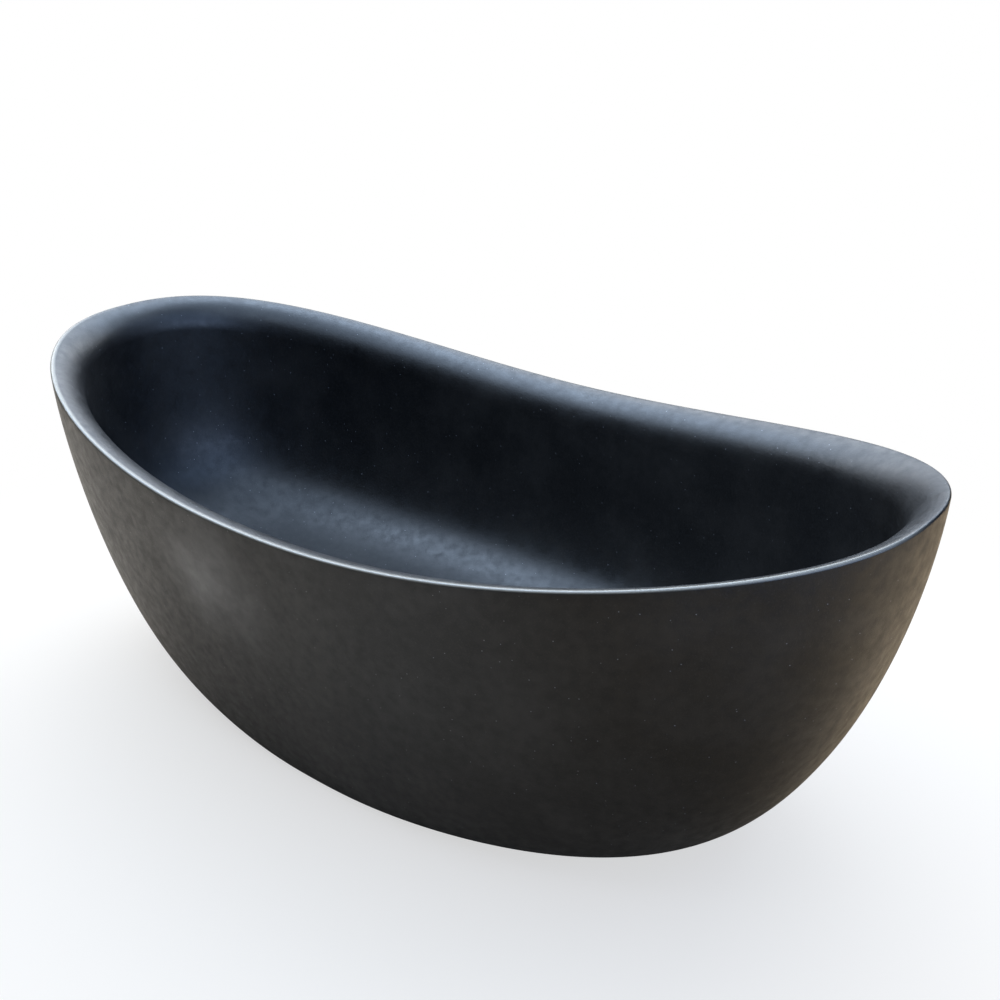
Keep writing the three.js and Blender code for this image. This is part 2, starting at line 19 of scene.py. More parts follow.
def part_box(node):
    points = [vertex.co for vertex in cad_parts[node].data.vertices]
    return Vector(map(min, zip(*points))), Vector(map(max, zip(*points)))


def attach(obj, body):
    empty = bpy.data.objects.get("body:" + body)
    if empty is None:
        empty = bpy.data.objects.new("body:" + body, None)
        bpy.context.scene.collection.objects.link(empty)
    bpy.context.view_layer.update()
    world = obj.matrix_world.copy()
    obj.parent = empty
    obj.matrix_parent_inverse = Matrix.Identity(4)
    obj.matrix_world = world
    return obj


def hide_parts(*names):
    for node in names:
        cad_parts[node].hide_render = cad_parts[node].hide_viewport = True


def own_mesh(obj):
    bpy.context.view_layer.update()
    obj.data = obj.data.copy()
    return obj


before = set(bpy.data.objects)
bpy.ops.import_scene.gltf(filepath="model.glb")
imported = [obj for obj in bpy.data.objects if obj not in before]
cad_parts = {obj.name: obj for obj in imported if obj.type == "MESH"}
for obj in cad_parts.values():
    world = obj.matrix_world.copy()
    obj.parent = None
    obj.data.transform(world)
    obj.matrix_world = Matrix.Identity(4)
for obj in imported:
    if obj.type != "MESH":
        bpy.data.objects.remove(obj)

log = logging.getLogger("bath")

FULL_TURN = 2 * math.pi
QUARTER_TURN = math.pi / 2
MM = 0.001

Socket = bpy.types.NodeSocket
Span = tuple[float, float]
Value = bool | int | float | Sequence[float] | bpy.types.ID | Socket


class Body(Enum):
    """The bodies that pieces move with."""

    BATH = "bath"
    PLUG = "plug"


class Slot(Enum):
    """The material slots, by name."""

    STONE = "cast_stone"
    CHROME = "chrome_plate"
    BRASS = "raw_brass"
    STEEL = "spring_steel"
    SEAL = "seal_rubber"
    PAD = "pad_rubber"
    WASHER = "washer_plastic"


# --- Nodes and pieces ---


def fill(node: bpy.types.Node, inputs: dict[int | str, Value]) -> None:
    """Links each named or numbered input to a socket, or sets it to a plain value."""
    for key, value in inputs.items():
        if isinstance(value, Socket):
            node.id_data.links.new(value, node.inputs[key])
        else:
            node.inputs[key].default_value = value


def add_node(tree: bpy.types.NodeTree, kind: str, inputs: dict[int | str, Value] | None = None,
             **settings: Value | str) -> bpy.types.Node:
    """Adds a node, sets its properties, and fills or links its inputs.

    Args:
        tree: The tree that the node goes in.
        kind: The node's type name.
        inputs: Input names or numbers, each with a value or with the socket to link from.
        **settings: Properties of the node itself.

    Returns:
        The new node.
    """
    node = tree.nodes.new(kind)
    for name, value in settings.items():
        setattr(node, name, value)
    fill(node, inputs or {})
    return node


@dataclass(frozen=True)
class Field:
    """A number that varies over a mesh or a surface, built up by ordinary arithmetic."""

    tree: bpy.types.NodeTree
    socket: Socket

    def apply(self, operation: str, *others: "Field | float", clamp: bool = False) -> "Field":
        """Runs a math node on this number.

        Args:
            operation: The math node's operation.
            *others: Its further inputs.
            clamp: Whether the result is kept between 0 and 1.

        Returns:
            The result.
        """
        values = [self.socket, *(o.socket if isinstance(o, Field) else o for o in others)]
        settings = {"operation": operation, "use_clamp": clamp}
        node = add_node(self.tree, "ShaderNodeMath", dict(enumerate(values)), **settings)
        return Field(self.tree, node.outputs[0])

    def __add__(self, other: "Field | float") -> "Field":
        """Sum."""
        return self.apply("ADD", other)

    def __radd__(self, other: float) -> "Field":
        """Sum with a plain number on the left."""
        return self.apply("ADD", other)

    def __sub__(self, other: "Field | float") -> "Field":
        """Difference."""
        return self.apply("SUBTRACT", other)

    def __rsub__(self, other: float) -> "Field":
        """Difference from a plain number."""
        return self.apply("MULTIPLY_ADD", -1.0, other)

    def __mul__(self, other: "Field | float") -> "Field":
        """Product."""
        return self.apply("MULTIPLY", other)

    def __rmul__(self, other: float) -> "Field":
        """Product with a plain number on the left."""
        return self.apply("MULTIPLY", other)

    def __truediv__(self, other: "Field | float") -> "Field":
        """Quotient."""
        return self.apply("DIVIDE", other)

    def __pow__(self, other: "Field | float") -> "Field":
        """Power of a number that is never negative."""
        return self.apply("POWER", other)

    def sine(self) -> "Field":
        """Sine of an angle in radians."""
        return self.apply("SINE")

    def cosine(self) -> "Field":
        """Cosine of an angle in radians."""
        return self.apply("COSINE")

    def root(self) -> "Field":
        """Square root."""
        return self.apply("SQRT")

    def signed_power(self, power: "Field | float") -> "Field":
        """Power of the size, with the number's own sign."""
        return self.apply("ABSOLUTE") ** power * self.apply("SIGN")

    def between(self, start: "Field | float", end: "Field | float") -> "Field":
        """Goes from start to end as this number goes from 0 to 1."""
        return self * (end - start) + start

    def ramp(self, low: float, high: float) -> "Field":
        """Share of the way from low to high, kept between 0 and 1."""
        return (self - low).apply("DIVIDE", high - low, clamp=True)


@dataclass(frozen=True)
class Maker:
    """A Geometry Nodes tree with named inputs, and what turns it into a plain mesh."""

    tree: bpy.types.NodeTree
    given: bpy.types.Node

    SHARP_ANGLE = math.radians(32)

    @classmethod
    def begin(cls, name: str, numbers: Iterable[str] = (), with_mesh: bool = False) -> "Maker":
        """Starts a tree.

        Args:
            name: The tree's name.
            numbers: Names of its number inputs.
            with_mesh: Whether it starts from a mesh that is handed to it.

        Returns:
            The maker.
        """
        tree = bpy.data.node_groups.new(name, "GeometryNodeTree")
        sockets = tree.interface
        if with_mesh:
            sockets.new_socket("Geometry", in_out="INPUT", socket_type="NodeSocketGeometry")
        for number in numbers:
            sockets.new_socket(number, in_out="INPUT", socket_type="NodeSocketFloat")
        sockets.new_socket("material", in_out="INPUT", socket_type="NodeSocketMaterial")
        sockets.new_socket("Geometry", in_out="OUTPUT", socket_type="NodeSocketGeometry")
        return cls(tree, add_node(tree, "NodeGroupInput"))

    def add(self, kind: str, inputs: dict[int | str, Value] | None = None,
            **settings: Value | str) -> Socket:
        """Adds a node to the tree and gives its first output."""
        return add_node(self.tree, kind, inputs, **settings).outputs[0]

    def field(self, socket: Socket) -> Field:
        """A socket of the tree as a number to reckon with."""
        return Field(self.tree, socket)

    def place(self) -> tuple[Field, Field, Field]:
        """The coordinates of the mesh's points."""
        split = add_node(self.tree, "ShaderNodeSeparateXYZ", {0: self.add("GeometryNodeInputPosition")})
        return tuple(self.field(output) for output in split.outputs)

    def moved(self, mesh: Socket, place: Sequence[Field]) -> Socket:
        """Puts a mesh's points at new coordinates."""
        vector = self.add("ShaderNodeCombineXYZ", {i: c.socket for i, c in enumerate(place)})
        return self.add("GeometryNodeSetPosition", {"Geometry": mesh, "Position": vector})

    def joined(self, *parts: Socket) -> Socket:
        """Puts several geometries into one."""
        join = add_node(self.tree, "GeometryNodeJoinGeometry")
        for part in parts:
            self.tree.links.new(part, join.inputs[0])
        return join.outputs[0]

    def end(self, mesh: Socket) -> None:
        """Shades the mesh smooth but for its sharp edges, sets its material and ends the tree."""
        bend = self.add("GeometryNodeInputMeshEdgeAngle")
        sharp = self.add("FunctionNodeCompare", {0: bend, 1: self.SHARP_ANGLE}, operation="GREATER_THAN")
        smooth = self.add("GeometryNodeSetShadeSmooth", {"Geometry": mesh, "Shade Smooth": True})
        edges = {"Geometry": smooth, "Selection": sharp, "Shade Smooth": False}
        creased = self.add("GeometryNodeSetShadeSmooth", edges, domain="EDGE")
        real = self.add("GeometryNodeRealizeInstances", {"Geometry": creased})
        dressed = {"Geometry": real, "Material": self.given.outputs["material"]}
        add_node(self.tree, "NodeGroupOutput", {0: self.add("GeometryNodeSetMaterial", dressed)})

    def run(self, name: str, material: bpy.types.Material, numbers: dict[str, float] | None = None,
            mesh: bpy.types.Mesh | None = None) -> bpy.types.Object:
        """Runs the tree and keeps its result as a plain mesh.

        Args:
            name: The finished piece's name.
            material: The piece's material.
            numbers: A value for each number input.
            mesh: The mesh that the tree starts from, where it takes one.

        Returns:
            The piece, at the origin and without a modifier.
        """
        host = add_object(name + "_draft", mesh or bpy.data.meshes.new(name + "_draft"))
        modifier = host.modifiers.new("maker", "NODES")
        modifier.node_group = self.tree
        values = {**(numbers or {}), "material": material}
        for item in self.tree.interface.items_tree:
            if item.in_out == "INPUT" and item.socket_type != "NodeSocketGeometry":
                modifier[item.identifier] = values[item.name]
        depsgraph = bpy.context.evaluated_depsgraph_get()
        made = bpy.data.meshes.new_from_object(host.evaluated_get(depsgraph))
        made.name = name
        bpy.data.objects.remove(host)
        return add_object(name, made)


class Sized:
    """A piece whose sizes are the number inputs of the tree that makes it."""

    def numbers(self) -> dict[str, float]:
        """Each size by its name."""
        return {item.name: float(getattr(self, item.name)) for item in fields(self)}

    def begin(self, name: str, with_mesh: bool = False) -> tuple[Maker, dict[str, Field]]:
        """Starts the piece's tree and gives its maker, with its sizes as numbers to reckon with."""
        maker = Maker.begin(name, self.numbers(), with_mesh)
        return maker, {key: maker.field(maker.given.outputs[key]) for key in self.numbers()}


def add_object(name: str, data: bpy.types.ID) -> bpy.types.Object:
    """Puts a mesh, lamp or camera in the scene at the origin."""
    thing = bpy.data.objects.new(name, data)
    bpy.context.scene.collection.objects.link(thing)
    return thing


def finish_piece(piece: bpy.types.Object, body: Body, slot: Slot, *nodes: str) -> bpy.types.Object:
    """Hangs a finished mesh on its body, hides the frame nodes it stands for and logs it."""
    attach(piece, body.value)
    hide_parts(*nodes)
    log.info("%s: %d faces on %s", piece.name, len(piece.data.polygons), body.value)
    return piece


# --- Finishes ---


def linear(hex_colour: str) -> tuple[float, float, float, float]:
    """Turns an sRGB hex colour into linear red, green, blue and alpha."""
    parts = [int(hex_colour[i : i + 2], 16) / 255 for i in (1, 3, 5)]
    return (*(p / 12.92 if p <= 0.04045 else ((p + 0.055) / 1.055) ** 2.4 for p in parts), 1.0)


@dataclass(frozen=True)
class Surface:
    """A node material in the making, laid on the piece's own coordinates."""

    material: bpy.types.Material
    shader: bpy.types.Node
    place: Socket

    SPOT_CORE = 0.6

    @classmethod
    def begin(cls, name: str) -> "Surface":
        """Starts a material."""
        material = bpy.data.materials.new(name)
        material.use_nodes = True
        tree = material.node_tree
        place = add_node(tree, "ShaderNodeTexCoord").outputs["Object"]
        return cls(material, tree.nodes["Principled BSDF"], place)

    def add(self, kind: str, inputs: dict[int | str, Value] | None = None, output: int = 0,
            **settings: Value | str) -> Socket:
        """Adds a node to the material and gives one of its outputs."""
        return add_node(self.material.node_tree, kind, inputs, **settings).outputs[output]

    def blend(self, factor: Socket, low: Socket | str, high: Socket | str) -> Socket:
        """Goes from one colour to another as the factor goes from 0 to 1."""
        colours = [linear(c) if isinstance(c, str) else c for c in (low, high)]
        return self.add("ShaderNodeMix", {0: factor, 6: colours[0], 7: colours[1]}, 2, data_type="RGBA")

    def noise(self, size: float, **inputs: Value) -> Socket:
        """Cloudy noise with features of a size."""
        return self.add("ShaderNodeTexNoise", {"Vector": self.place, "Scale": 1 / size, **inputs})

    def ramp(self, value: Socket, span: Span = (0.0, 1.0), start: float = 0.0,
             end: Socket | float = 1.0, **settings: str) -> Socket:
        """Goes from start to end as a value goes across a span, and stays between both."""
        limits = {"Value": value, "From Min": span[0], "From Max": span[1], "To Min": start, "To Max": end}
        return self.add("ShaderNodeMapRange", limits, **settings)

    def bump(self, height: Socket, depth: float, **inputs: Value) -> Socket:
        """Tilts the surface as if a pattern stood out by a depth."""
        return self.add("ShaderNodeBump", {"Height": height, "Distance": depth, **inputs})

    def coordinates(self) -> Sequence[Socket]:
        """The piece's own coordinates one by one."""
        return add_node(self.material.node_tree, "ShaderNodeSeparateXYZ", {0: self.place}).outputs

    def spots(self, spacing: float, radius: float) -> Socket:
        """Marks sparse round specks.

        Args:
            spacing: Mean distance between specks all through the piece.
            radius: Radius of a speck.

        Returns:
            1 inside a speck and 0 outside.
        """
        away = self.add("ShaderNodeTexVoronoi", {"Vector": self.place, "Scale": 1 / spacing})
        reach = radius / spacing
        return self.ramp(away, (self.SPOT_CORE * reach, reach), 1.0, 0.0)

    def give(self, **inputs: Value) -> None:
        """Sets or links the shader's inputs, named with underscores for spaces."""
        fill(self.shader, {name.replace("_", " "): value for name, value in inputs.items()})


@dataclass(frozen=True)
class HonedCastStone:
    """Black pigmented cement stone, cast in a mould, then honed and sealed.

    The seal mirrors pale surroundings softly. Pigment clouds a hand wide, finer grey
    mottling and flecks, sparse pale grains of sand and a few pinholes break up the black.
    A pale, smoother strip along the rim's outer edge, strongest on the near side, is a
    painted highlight, as is one pale smoky patch on the front wall. The pinholes are painted
    darker, as painted shade in each pit.
    """

    dark: str = "#09090a"
    pale: str = "#292725"
    cloud_size: float = 130 * MM
    mottle_size: float = 19 * MM
    mottle_weight: float = 0.5
    noise_detail: float = 4.0
    noise_roughness: float = 0.55
    pale_span: Span = (0.64, 1.0)
    fleck: str = "#383634"
    fleck_span: Span = (0.55, 0.8)
    grain: str = "#8c8c8e"
    grain_spacing: float = 16 * MM
    grain_radius: float = 1.0 * MM
    # Painted shade: the darker colour inside each pinhole.
    hole: str = "#060607"
    hole_spacing: float = 34 * MM
    hole_radius: float = 0.9 * MM
    hole_strength: float = 0.6
    wave_depth: float = 0.13 * MM
    peel_size: float = 3.0 * MM
    peel_depth: float = 0.2 * MM
    peel_roughness: float = 0.72
    roughness: float = 0.4
    roughness_spread: float = 0.08
    roughness_span: Span = (0.3, 0.7)
    # Painted highlight: the pale colour and smoother finish of the rim's outer edge, strongest on the near
    # side.
    rim_highlight: str = "#a89d8b"
    rim_highlight_roughness: float = 0.2
    # Painted highlight: a pale smoky patch of soft light on the front wall, at this centre and size.
    bloom: str = "#e2ded8"
    highlight_bloom_centre: tuple[float, float, float] = (-0.12, -0.52, 0.38)
    bloom_size: float = 195 * MM
    bloom_span: Span = (0.3, 0.8)
    ior: float = 1.65

    def build(self) -> bpy.types.Material:
        """Makes the material."""
        surface = Surface.begin("honed_black_cast_stone")
        pattern = {"Detail": self.noise_detail, "Roughness": self.noise_roughness}
        cloud = surface.noise(self.cloud_size, **pattern)
        mottle = surface.noise(self.mottle_size, **pattern)
        peel = surface.noise(self.peel_size, **{**pattern, "Roughness": self.peel_roughness})
        # The share of the painted highlight along the rim's outer edge, stored on the bath's points.
        highlight_share = surface.add("ShaderNodeAttribute", output=2, attribute_name=BathBody.HIGHLIGHT)
        even, spread = self.roughness, self.roughness_spread
        honed = surface.ramp(mottle, self.roughness_span, even + spread, even - spread)
        holes = surface.spots(self.hole_spacing, self.hole_radius)
        wave = surface.bump(mottle, self.wave_depth)
        skin = surface.bump(peel, self.peel_depth, Normal=wave)
        surface.give(
            Base_Color=surface.blend(highlight_share, self.colour(surface, cloud, mottle, peel, holes), self.rim_highlight),
            Roughness=surface.add("ShaderNodeMix", {0: highlight_share, 2: honed, 3: self.rim_highlight_roughness}),
            IOR=self.ior,
            Normal=surface.bump(holes, -self.hole_radius, Strength=self.hole_strength, Normal=skin),
        )
        return surface.material

    def colour(self, surface: Surface, cloud: Socket, mottle: Socket, peel: Socket,
               holes: Socket) -> Socket:
        """Lays the stone's colours over each other, with a painted highlight patch on the front wall and
        painted shade in the pinholes.

        Args:
            surface: The material in the making.
            cloud: The widest noise.
            mottle: The middle noise.
            peel: The finest noise.
            holes: 1 inside a pinhole and 0 outside.

        Returns:
            The colour of the stone away from the painted highlight on the rim's outer edge.
        """
        weights = {0: mottle, 1: self.mottle_weight, 2: cloud}
        both = surface.add("ShaderNodeMath", weights, operation="MULTIPLY_ADD")
        clouded = surface.blend(surface.ramp(both, self.pale_span), self.dark, self.pale)
        flecked = surface.blend(surface.ramp(peel, self.fleck_span), clouded, self.fleck)
        # Painted highlight: the pale patch fades out from its centre and is broken into wisps by the cloud
        # noise.
        ends = {0: surface.place, 1: self.highlight_bloom_centre}
        away = surface.add("ShaderNodeVectorMath", ends, 1, operation="DISTANCE")
        near = surface.ramp(away, (0.0, self.bloom_size), 1.0, 0.0, interpolation_type="SMOOTHSTEP")
        wisps = surface.ramp(cloud, self.bloom_span)
        highlight_bloom_share = surface.add("ShaderNodeMath", {0: near, 1: wisps}, operation="MULTIPLY")
        ground = surface.blend(highlight_bloom_share, flecked, self.bloom)
        sanded = surface.blend(surface.spots(self.grain_spacing, self.grain_radius), ground, self.grain)
        # Painted shade: each pinhole is painted darker than the stone round it.
        return surface.blend(holes, sanded, self.hole)


@dataclass(frozen=True)
class PolishedChrome:
    """Bright chrome plate over turned brass, with the faint smears that water and hands leave."""

    colour: str = "#d9dbde"
    clean: float = 0.05
    smeared: float = 0.17
    smear_size: float = 14 * MM
    smear_span: Span = (0.42, 0.72)
    smear_swirl: float = 1.2

    def build(self) -> bpy.types.Material:
        """Makes the material."""
        surface = Surface.begin("polished_chrome_plate")
        smears = surface.noise(self.smear_size, Detail=6.0, Distortion=self.smear_swirl)
        rough = surface.ramp(smears, self.smear_span, self.clean, self.smeared)
        surface.give(Base_Color=linear(self.colour), Metallic=1.0, Roughness=rough)
        return surface.material


@dataclass(frozen=True)
class TurnedBrass:
    """Raw brass as the lathe left it: fine rings round the axis, and a brown bloom in clouds."""

    bright: str = "#c39a54"
    dull: str = "#8f6d38"
    bloom_size: float = 17 * MM
    bloom_span: Span = (0.35, 0.7)
    ring_size: float = 0.4 * MM
    ring_depth: float = 0.012 * MM
    bright_roughness: float = 0.24
    dull_roughness: float = 0.42

    def build(self) -> bpy.types.Material:
        """Makes the material."""
        surface = Surface.begin("turned_raw_brass")
        flat = surface.add("ShaderNodeVectorMath", {0: surface.place, 1: (1, 1, 0)}, operation="MULTIPLY")
        radius = surface.add("ShaderNodeVectorMath", {0: flat}, 1, operation="LENGTH")
        section = surface.add("ShaderNodeCombineXYZ", {0: radius, 1: surface.coordinates()[2]})
        rings = surface.noise(self.ring_size, Vector=section)
        bloom = surface.noise(self.bloom_size, Detail=5.0)
        surface.give(
            Base_Color=surface.blend(surface.ramp(bloom, self.bloom_span), self.bright, self.dull),
            Metallic=1.0,
            Roughness=surface.ramp(bloom, self.bloom_span, self.bright_roughness, self.dull_roughness),
            Normal=surface.bump(rings, self.ring_depth),
        )
        return surface.material


@dataclass(frozen=True)
class DrawnSpringSteel:
    """Hard-drawn stainless spring wire, greyer and a little rough where the die dragged."""

    bright: str = "#a3a5a8"
    dull: str = "#6f7072"
    patch_size: float = 1.5 * MM
    bright_roughness: float = 0.18
    dull_roughness: float = 0.46

    def build(self) -> bpy.types.Material:
        """Makes the material."""
        surface = Surface.begin("drawn_spring_steel")
        patches = surface.noise(self.patch_size, Detail=4.0)
        surface.give(
            Base_Color=surface.blend(patches, self.bright, self.dull),
            Metallic=1.0,
            Roughness=surface.ramp(patches, start=self.bright_roughness, end=self.dull_roughness),
        )
        return surface.material


@dataclass(frozen=True)
class MouldedPolymer:
    """A moulded rubber or plastic with a fine eroded face and slightly uneven colour."""

    name: str
    dark: str
    pale: str
    roughness: float
    grain_size: float
    grain_depth: float
    milky: float = 0.0
    roughness_spread: float = 0.08

    GRAIN_TO_PATCH = 0.06

    def build(self) -> bpy.types.Material:
        """Makes the material."""
        surface = Surface.begin(self.name)
        grain = surface.noise(self.grain_size, Detail=3.0)
        patches = surface.noise(self.grain_size / self.GRAIN_TO_PATCH, Detail=3.0)
        even, spread = self.roughness, self.roughness_spread
        surface.give(
            Base_Color=surface.blend(patches, self.dark, self.pale),
            Roughness=surface.ramp(grain, start=even - spread, end=even + spread),
            Subsurface_Weight=self.milky,
            Subsurface_Scale=MM,
            Normal=surface.bump(grain, self.grain_depth),
        )
        return surface.material


# Black nitrile rubber, moulded and trimmed, with a soft sheen where the seals are squeezed.
SEAL_RUBBER = MouldedPolymer("moulded_seal_rubber", "#151516", "#1f1f20", 0.52, 0.5 * MM, 0.02 * MM)

# Dull black rubber with a coarse gripping face, for the pads under the base.
PAD_RUBBER = MouldedPolymer("coarse_pad_rubber", "#1b1b1b", "#2a2a2a", 0.8, 0.9 * MM, 0.12 * MM)

# White polythene, slightly see-through at its edges, so that the nut slips while it tightens.
WASHER_PLASTIC = MouldedPolymer("milky_polythene", "#dcdbd4", "#e9e8e3", 0.42, 0.7 * MM, 0.02 * MM, 0.35)


# --- Bath ---


@dataclass(frozen=True)
class BathBody(Sized):
    """The one-piece bath: basin, rolled rim, bowl-shaped outer wall, base ring and recess.

    Its section is laid in strips, each a sheet of faces that runs once round the bath.
    """

    length: float
    width: float
    end_height: float
    base_height: float
    middle_height: float = 530 * MM
    rim_sweep: float = 1.27
    plan_power: float = 2.3
    base_length: float = 920 * MM
    base_width: float = 640 * MM
    end_top_power: float = 1.76
    end_foot_power: float = 2.54
    side_top_power: float = 1.0
    side_foot_power: float = 1.35
    edge_radius: float = 4 * MM
    roll_radius: float = 66 * MM
    side_lean: float = math.radians(2.5)
    end_lean: float = math.radians(18)
    floor_height: float = 118 * MM
    underside: float = 78 * MM
    end_reach: float = 0.95
    side_reach: float = 0.97
    wall_sweep: float = 0.8
    ring_width: float = 70 * MM
    recess_draft: float = 8 * MM
    recess_fillet: float = 20 * MM
    hole_radius: float = 25.9 * MM
    seat_height: float = 110 * MM
    counterbore_radius: float = 37.5 * MM
    small_round: float = 1.5 * MM

    SIDES = 288
    MERGE_DISTANCE = 0.002 * MM
    NODE = "tub_shell"
    # Name of the stored share of the painted highlight along the rim's outer edge.
    HIGHLIGHT = "painted_rim_highlight"

    def maker(self) -> Maker:
        """Builds the tree that lays the strips and joins them into one closed skin."""
        maker, size = self.begin("bath_body")
        side, turn, _ = maker.place()
        sheets = []
        for strip in Section(size, side + 0.5, (turn + 0.5) * FULL_TURN).strips():
            sheet = {"Vertices X": strip.steps + 1, "Vertices Y": self.SIDES + 1}
            # Each strip carries its share of the painted rim highlight.
            highlight_share = strip.highlight_share.socket if isinstance(strip.highlight_share, Field) else strip.highlight_share
            marks = {"Geometry": maker.add("GeometryNodeMeshGrid", sheet), "Name": self.HIGHLIGHT, "Value": highlight_share}
            marked = maker.add("GeometryNodeStoreNamedAttribute", marks)
            sheets.append(maker.moved(marked, strip.place))
        skin = {"Geometry": maker.joined(*sheets), "Distance": self.MERGE_DISTANCE}
        maker.end(maker.add("GeometryNodeMergeByDistance", skin))
        return maker

    def build(self, stone: bpy.types.Material) -> bpy.types.Object:
        """Makes the bath's body."""
        piece = self.maker().run("bath_body", stone, self.numbers())
        return finish_piece(piece, Body.BATH, Slot.STONE, self.NODE)


Plan = tuple[Field, Field]


@dataclass(frozen=True)
class Strip:
    """A sheet of faces that runs once round the bath.

    Attributes:
        steps: How many faces it has from side to side.
        place: Where its points lie.
        highlight_share: How much of the painted highlight along the rim's outer edge its points take, from
            0 to 1.
    """

    steps: int
    place: tuple[Field, Field, Field]
    highlight_share: Field | float = 0.0


class Section:
    """The bath's section at every angle round it, as a row of strips.

    Attributes:
        size: The bath's sizes by name.
        across: Share of the way across a strip, from 0 to 1.
        sine: Sine of the same share of a quarter turn.
        fall: How far a quarter round of radius 1 still has to go along its first leg.
        rise: How far it has gone along its second leg.
        outline: The rim's outline for half widths of 1.
        share: 0 at the middle of a long side and 1 at the ends.
        facing: The outline's outward direction.
        rim: Height of the rim.
        lean: How far the rim's crown leans inwards.
    """

    BASIN_STEPS = 96
    CROWN_STEPS = 32
    EDGE_STEPS = 10
    OUTER_STEPS = 72
    CEILING_STEPS = 8
    FILLET_STEPS = 6
    DRAFT_STEPS = 4
    ROUND_STEPS = 3
    BORE_STEPS = 2
    # The painted highlight along the rim's outer edge: full on the near side, gone this far towards the far
    # side, and only on the crown's last stretch and the top of the edge's round.
    HIGHLIGHT_FADE = 200 * MM
    CROWN_HIGHLIGHT: Span = (0.95, 1.0)
    EDGE_HIGHLIGHT: Span = (0.2, 0.8)

    def __init__(self, size: dict[str, Field], across: Field, angle: Field) -> None:
        """Works out what depends on the angle round the bath alone, and a strip's round."""
        self.size, self.across = size, across
        turn = across * QUARTER_TURN
        self.sine, self.fall, self.rise = turn.sine(), 1.0 - turn.sine(), 1.0 - turn.cosine()
        inverse = size["plan_power"] ** -1.0
        along, aside = angle.cosine(), angle.sine()
        self.outline = (along.signed_power(inverse * 2.0), aside.signed_power(inverse * 2.0))
        self.share = along.apply("ABSOLUTE") ** (inverse * 4.0)
        slope = 2.0 - inverse * 2.0
        facing = (along.signed_power(slope) / size["length"], aside.signed_power(slope) / size["width"])
        reach = (facing[0] * facing[0] + facing[1] * facing[1]).root()
        self.facing = (facing[0] / reach, facing[1] / reach)
        sweep = size["rim_sweep"]
        rise = sweep * self.share + (1.0 - sweep) * self.share * self.share
        self.rim = rise.between(size["middle_height"], size["end_height"])
        self.lean = self.share.between(size["side_lean"], size["end_lean"])

    def rim_plan(self, inset: Field | float) -> Plan:
        """The rim's outline moved inwards square to itself."""
        half = (self.size["length"] * 0.5, self.size["width"] * 0.5)
        return tuple(o * h - f * inset for o, h, f in zip(self.outline, half, self.facing))

    def base_plan(self, inset: Field | float) -> Plan:
        """The foot's outline with both half widths made smaller by an inset."""
        half = (self.size["base_length"] * 0.5, self.size["base_width"] * 0.5)
        return tuple(o * (h - inset) for o, h in zip(self.outline, half))

    def round_plan(self, radius: Field) -> Plan:
        """A circle about the waste's axis, in step with the outline."""
        spread = (self.outline[0] * self.outline[0] + self.outline[1] * self.outline[1]).root()
        return tuple(o / spread * radius for o in self.outline)

    def level(self, height: Field) -> Field:
        """The same height all over a strip."""
        return self.across * 0.0 + height

    def strips(self) -> Iterable[Strip]:
        """The strips from the waste's hole up the inside, over the rim and back to the hole."""
        yield from self.rim_strips()
        yield from self.outer_strips()
        yield from self.recess_strips()
        yield from self.hole_strips()

    def rim_strips(self) -> Iterable[Strip]:
        """The basin, the rolled crown of the rim and the small round of its outer edge, with the painted
        highlight's share on the last two.
        """
        size, across = self.size, self.across
        edge, roll = size["edge_radius"], size["roll_radius"]
        sine, cosine = self.lean.sine(), self.lean.cosine()
        edge_in, crown = edge * (sine + 1.0), self.rim - edge * (1.0 - cosine)
        top = crown - roll * cosine
        bend = top - size["wall_sweep"] * (top - size["floor_height"])
        aim = self.share.between(size["side_reach"], size["end_reach"])
        back = 1.0 - across
        first, second = back * back * back, back * back * across * 3.0
        third, fourth = back * across * across * 3.0, across * across * across
        start = self.round_plan(size["counterbore_radius"] + size["small_round"])
        opening = self.rim_plan(edge_in + roll * (1.0 - sine))
        pull = second * aim + third + fourth
        wall = (first * s + pull * o for s, o in zip(start, opening))
        height = (first + second) * size["floor_height"] + third * bend + fourth * top
        yield Strip(self.BASIN_STEPS, (*wall, height))
        tilt = (1.0 - across).between(self.lean, QUARTER_TURN)
        over = self.rim_plan(edge_in + roll * (tilt.sine() - sine))
        # Painted highlight: the rim's outer edge is painted pale on the near side, fading out towards the
        # far side.
        near = over[1].ramp(0.0, -self.HIGHLIGHT_FADE)
        rim_highlight = across.ramp(*self.CROWN_HIGHLIGHT) * near
        yield Strip(self.CROWN_STEPS, (*over, crown - roll * (cosine - tilt.cosine())), rim_highlight)
        phase = (1.0 - across) * (self.lean + QUARTER_TURN)
        brink = self.rim_plan(edge * (1.0 - phase.cosine()))
        rim_highlight = phase.sine().ramp(*self.EDGE_HIGHLIGHT) * near
        yield Strip(self.EDGE_STEPS, (*brink, self.rim - edge * (1.0 - phase.sine())), rim_highlight)

    def outer_strips(self) -> Iterable[Strip]:
        """The bowl-shaped outer wall, the flat under the base ring and its inner round."""
        size, across = self.size, self.across
        base, small = size["base_height"], size["small_round"]
        height = (1.0 - across) * (1.0 - across)
        top_power = self.share.between(size["side_top_power"], size["end_top_power"])
        foot_power = self.share.between(size["side_foot_power"], size["end_foot_power"])
        flare = (1.0 - (1.0 - height) ** top_power) ** (foot_power ** -1.0)
        wall = (flare.between(f, w) for f, w in zip(self.base_plan(0.0), self.rim_plan(0.0)))
        yield Strip(self.OUTER_STEPS, (*wall, height.between(base, self.rim - size["edge_radius"])))
        inner = size["ring_width"] - small
        yield Strip(self.ROUND_STEPS, (*self.base_plan(across * inner), self.level(base)))
        lip = self.base_plan(inner + small * self.sine)
        yield Strip(self.ROUND_STEPS, (*lip, base + small * self.rise))

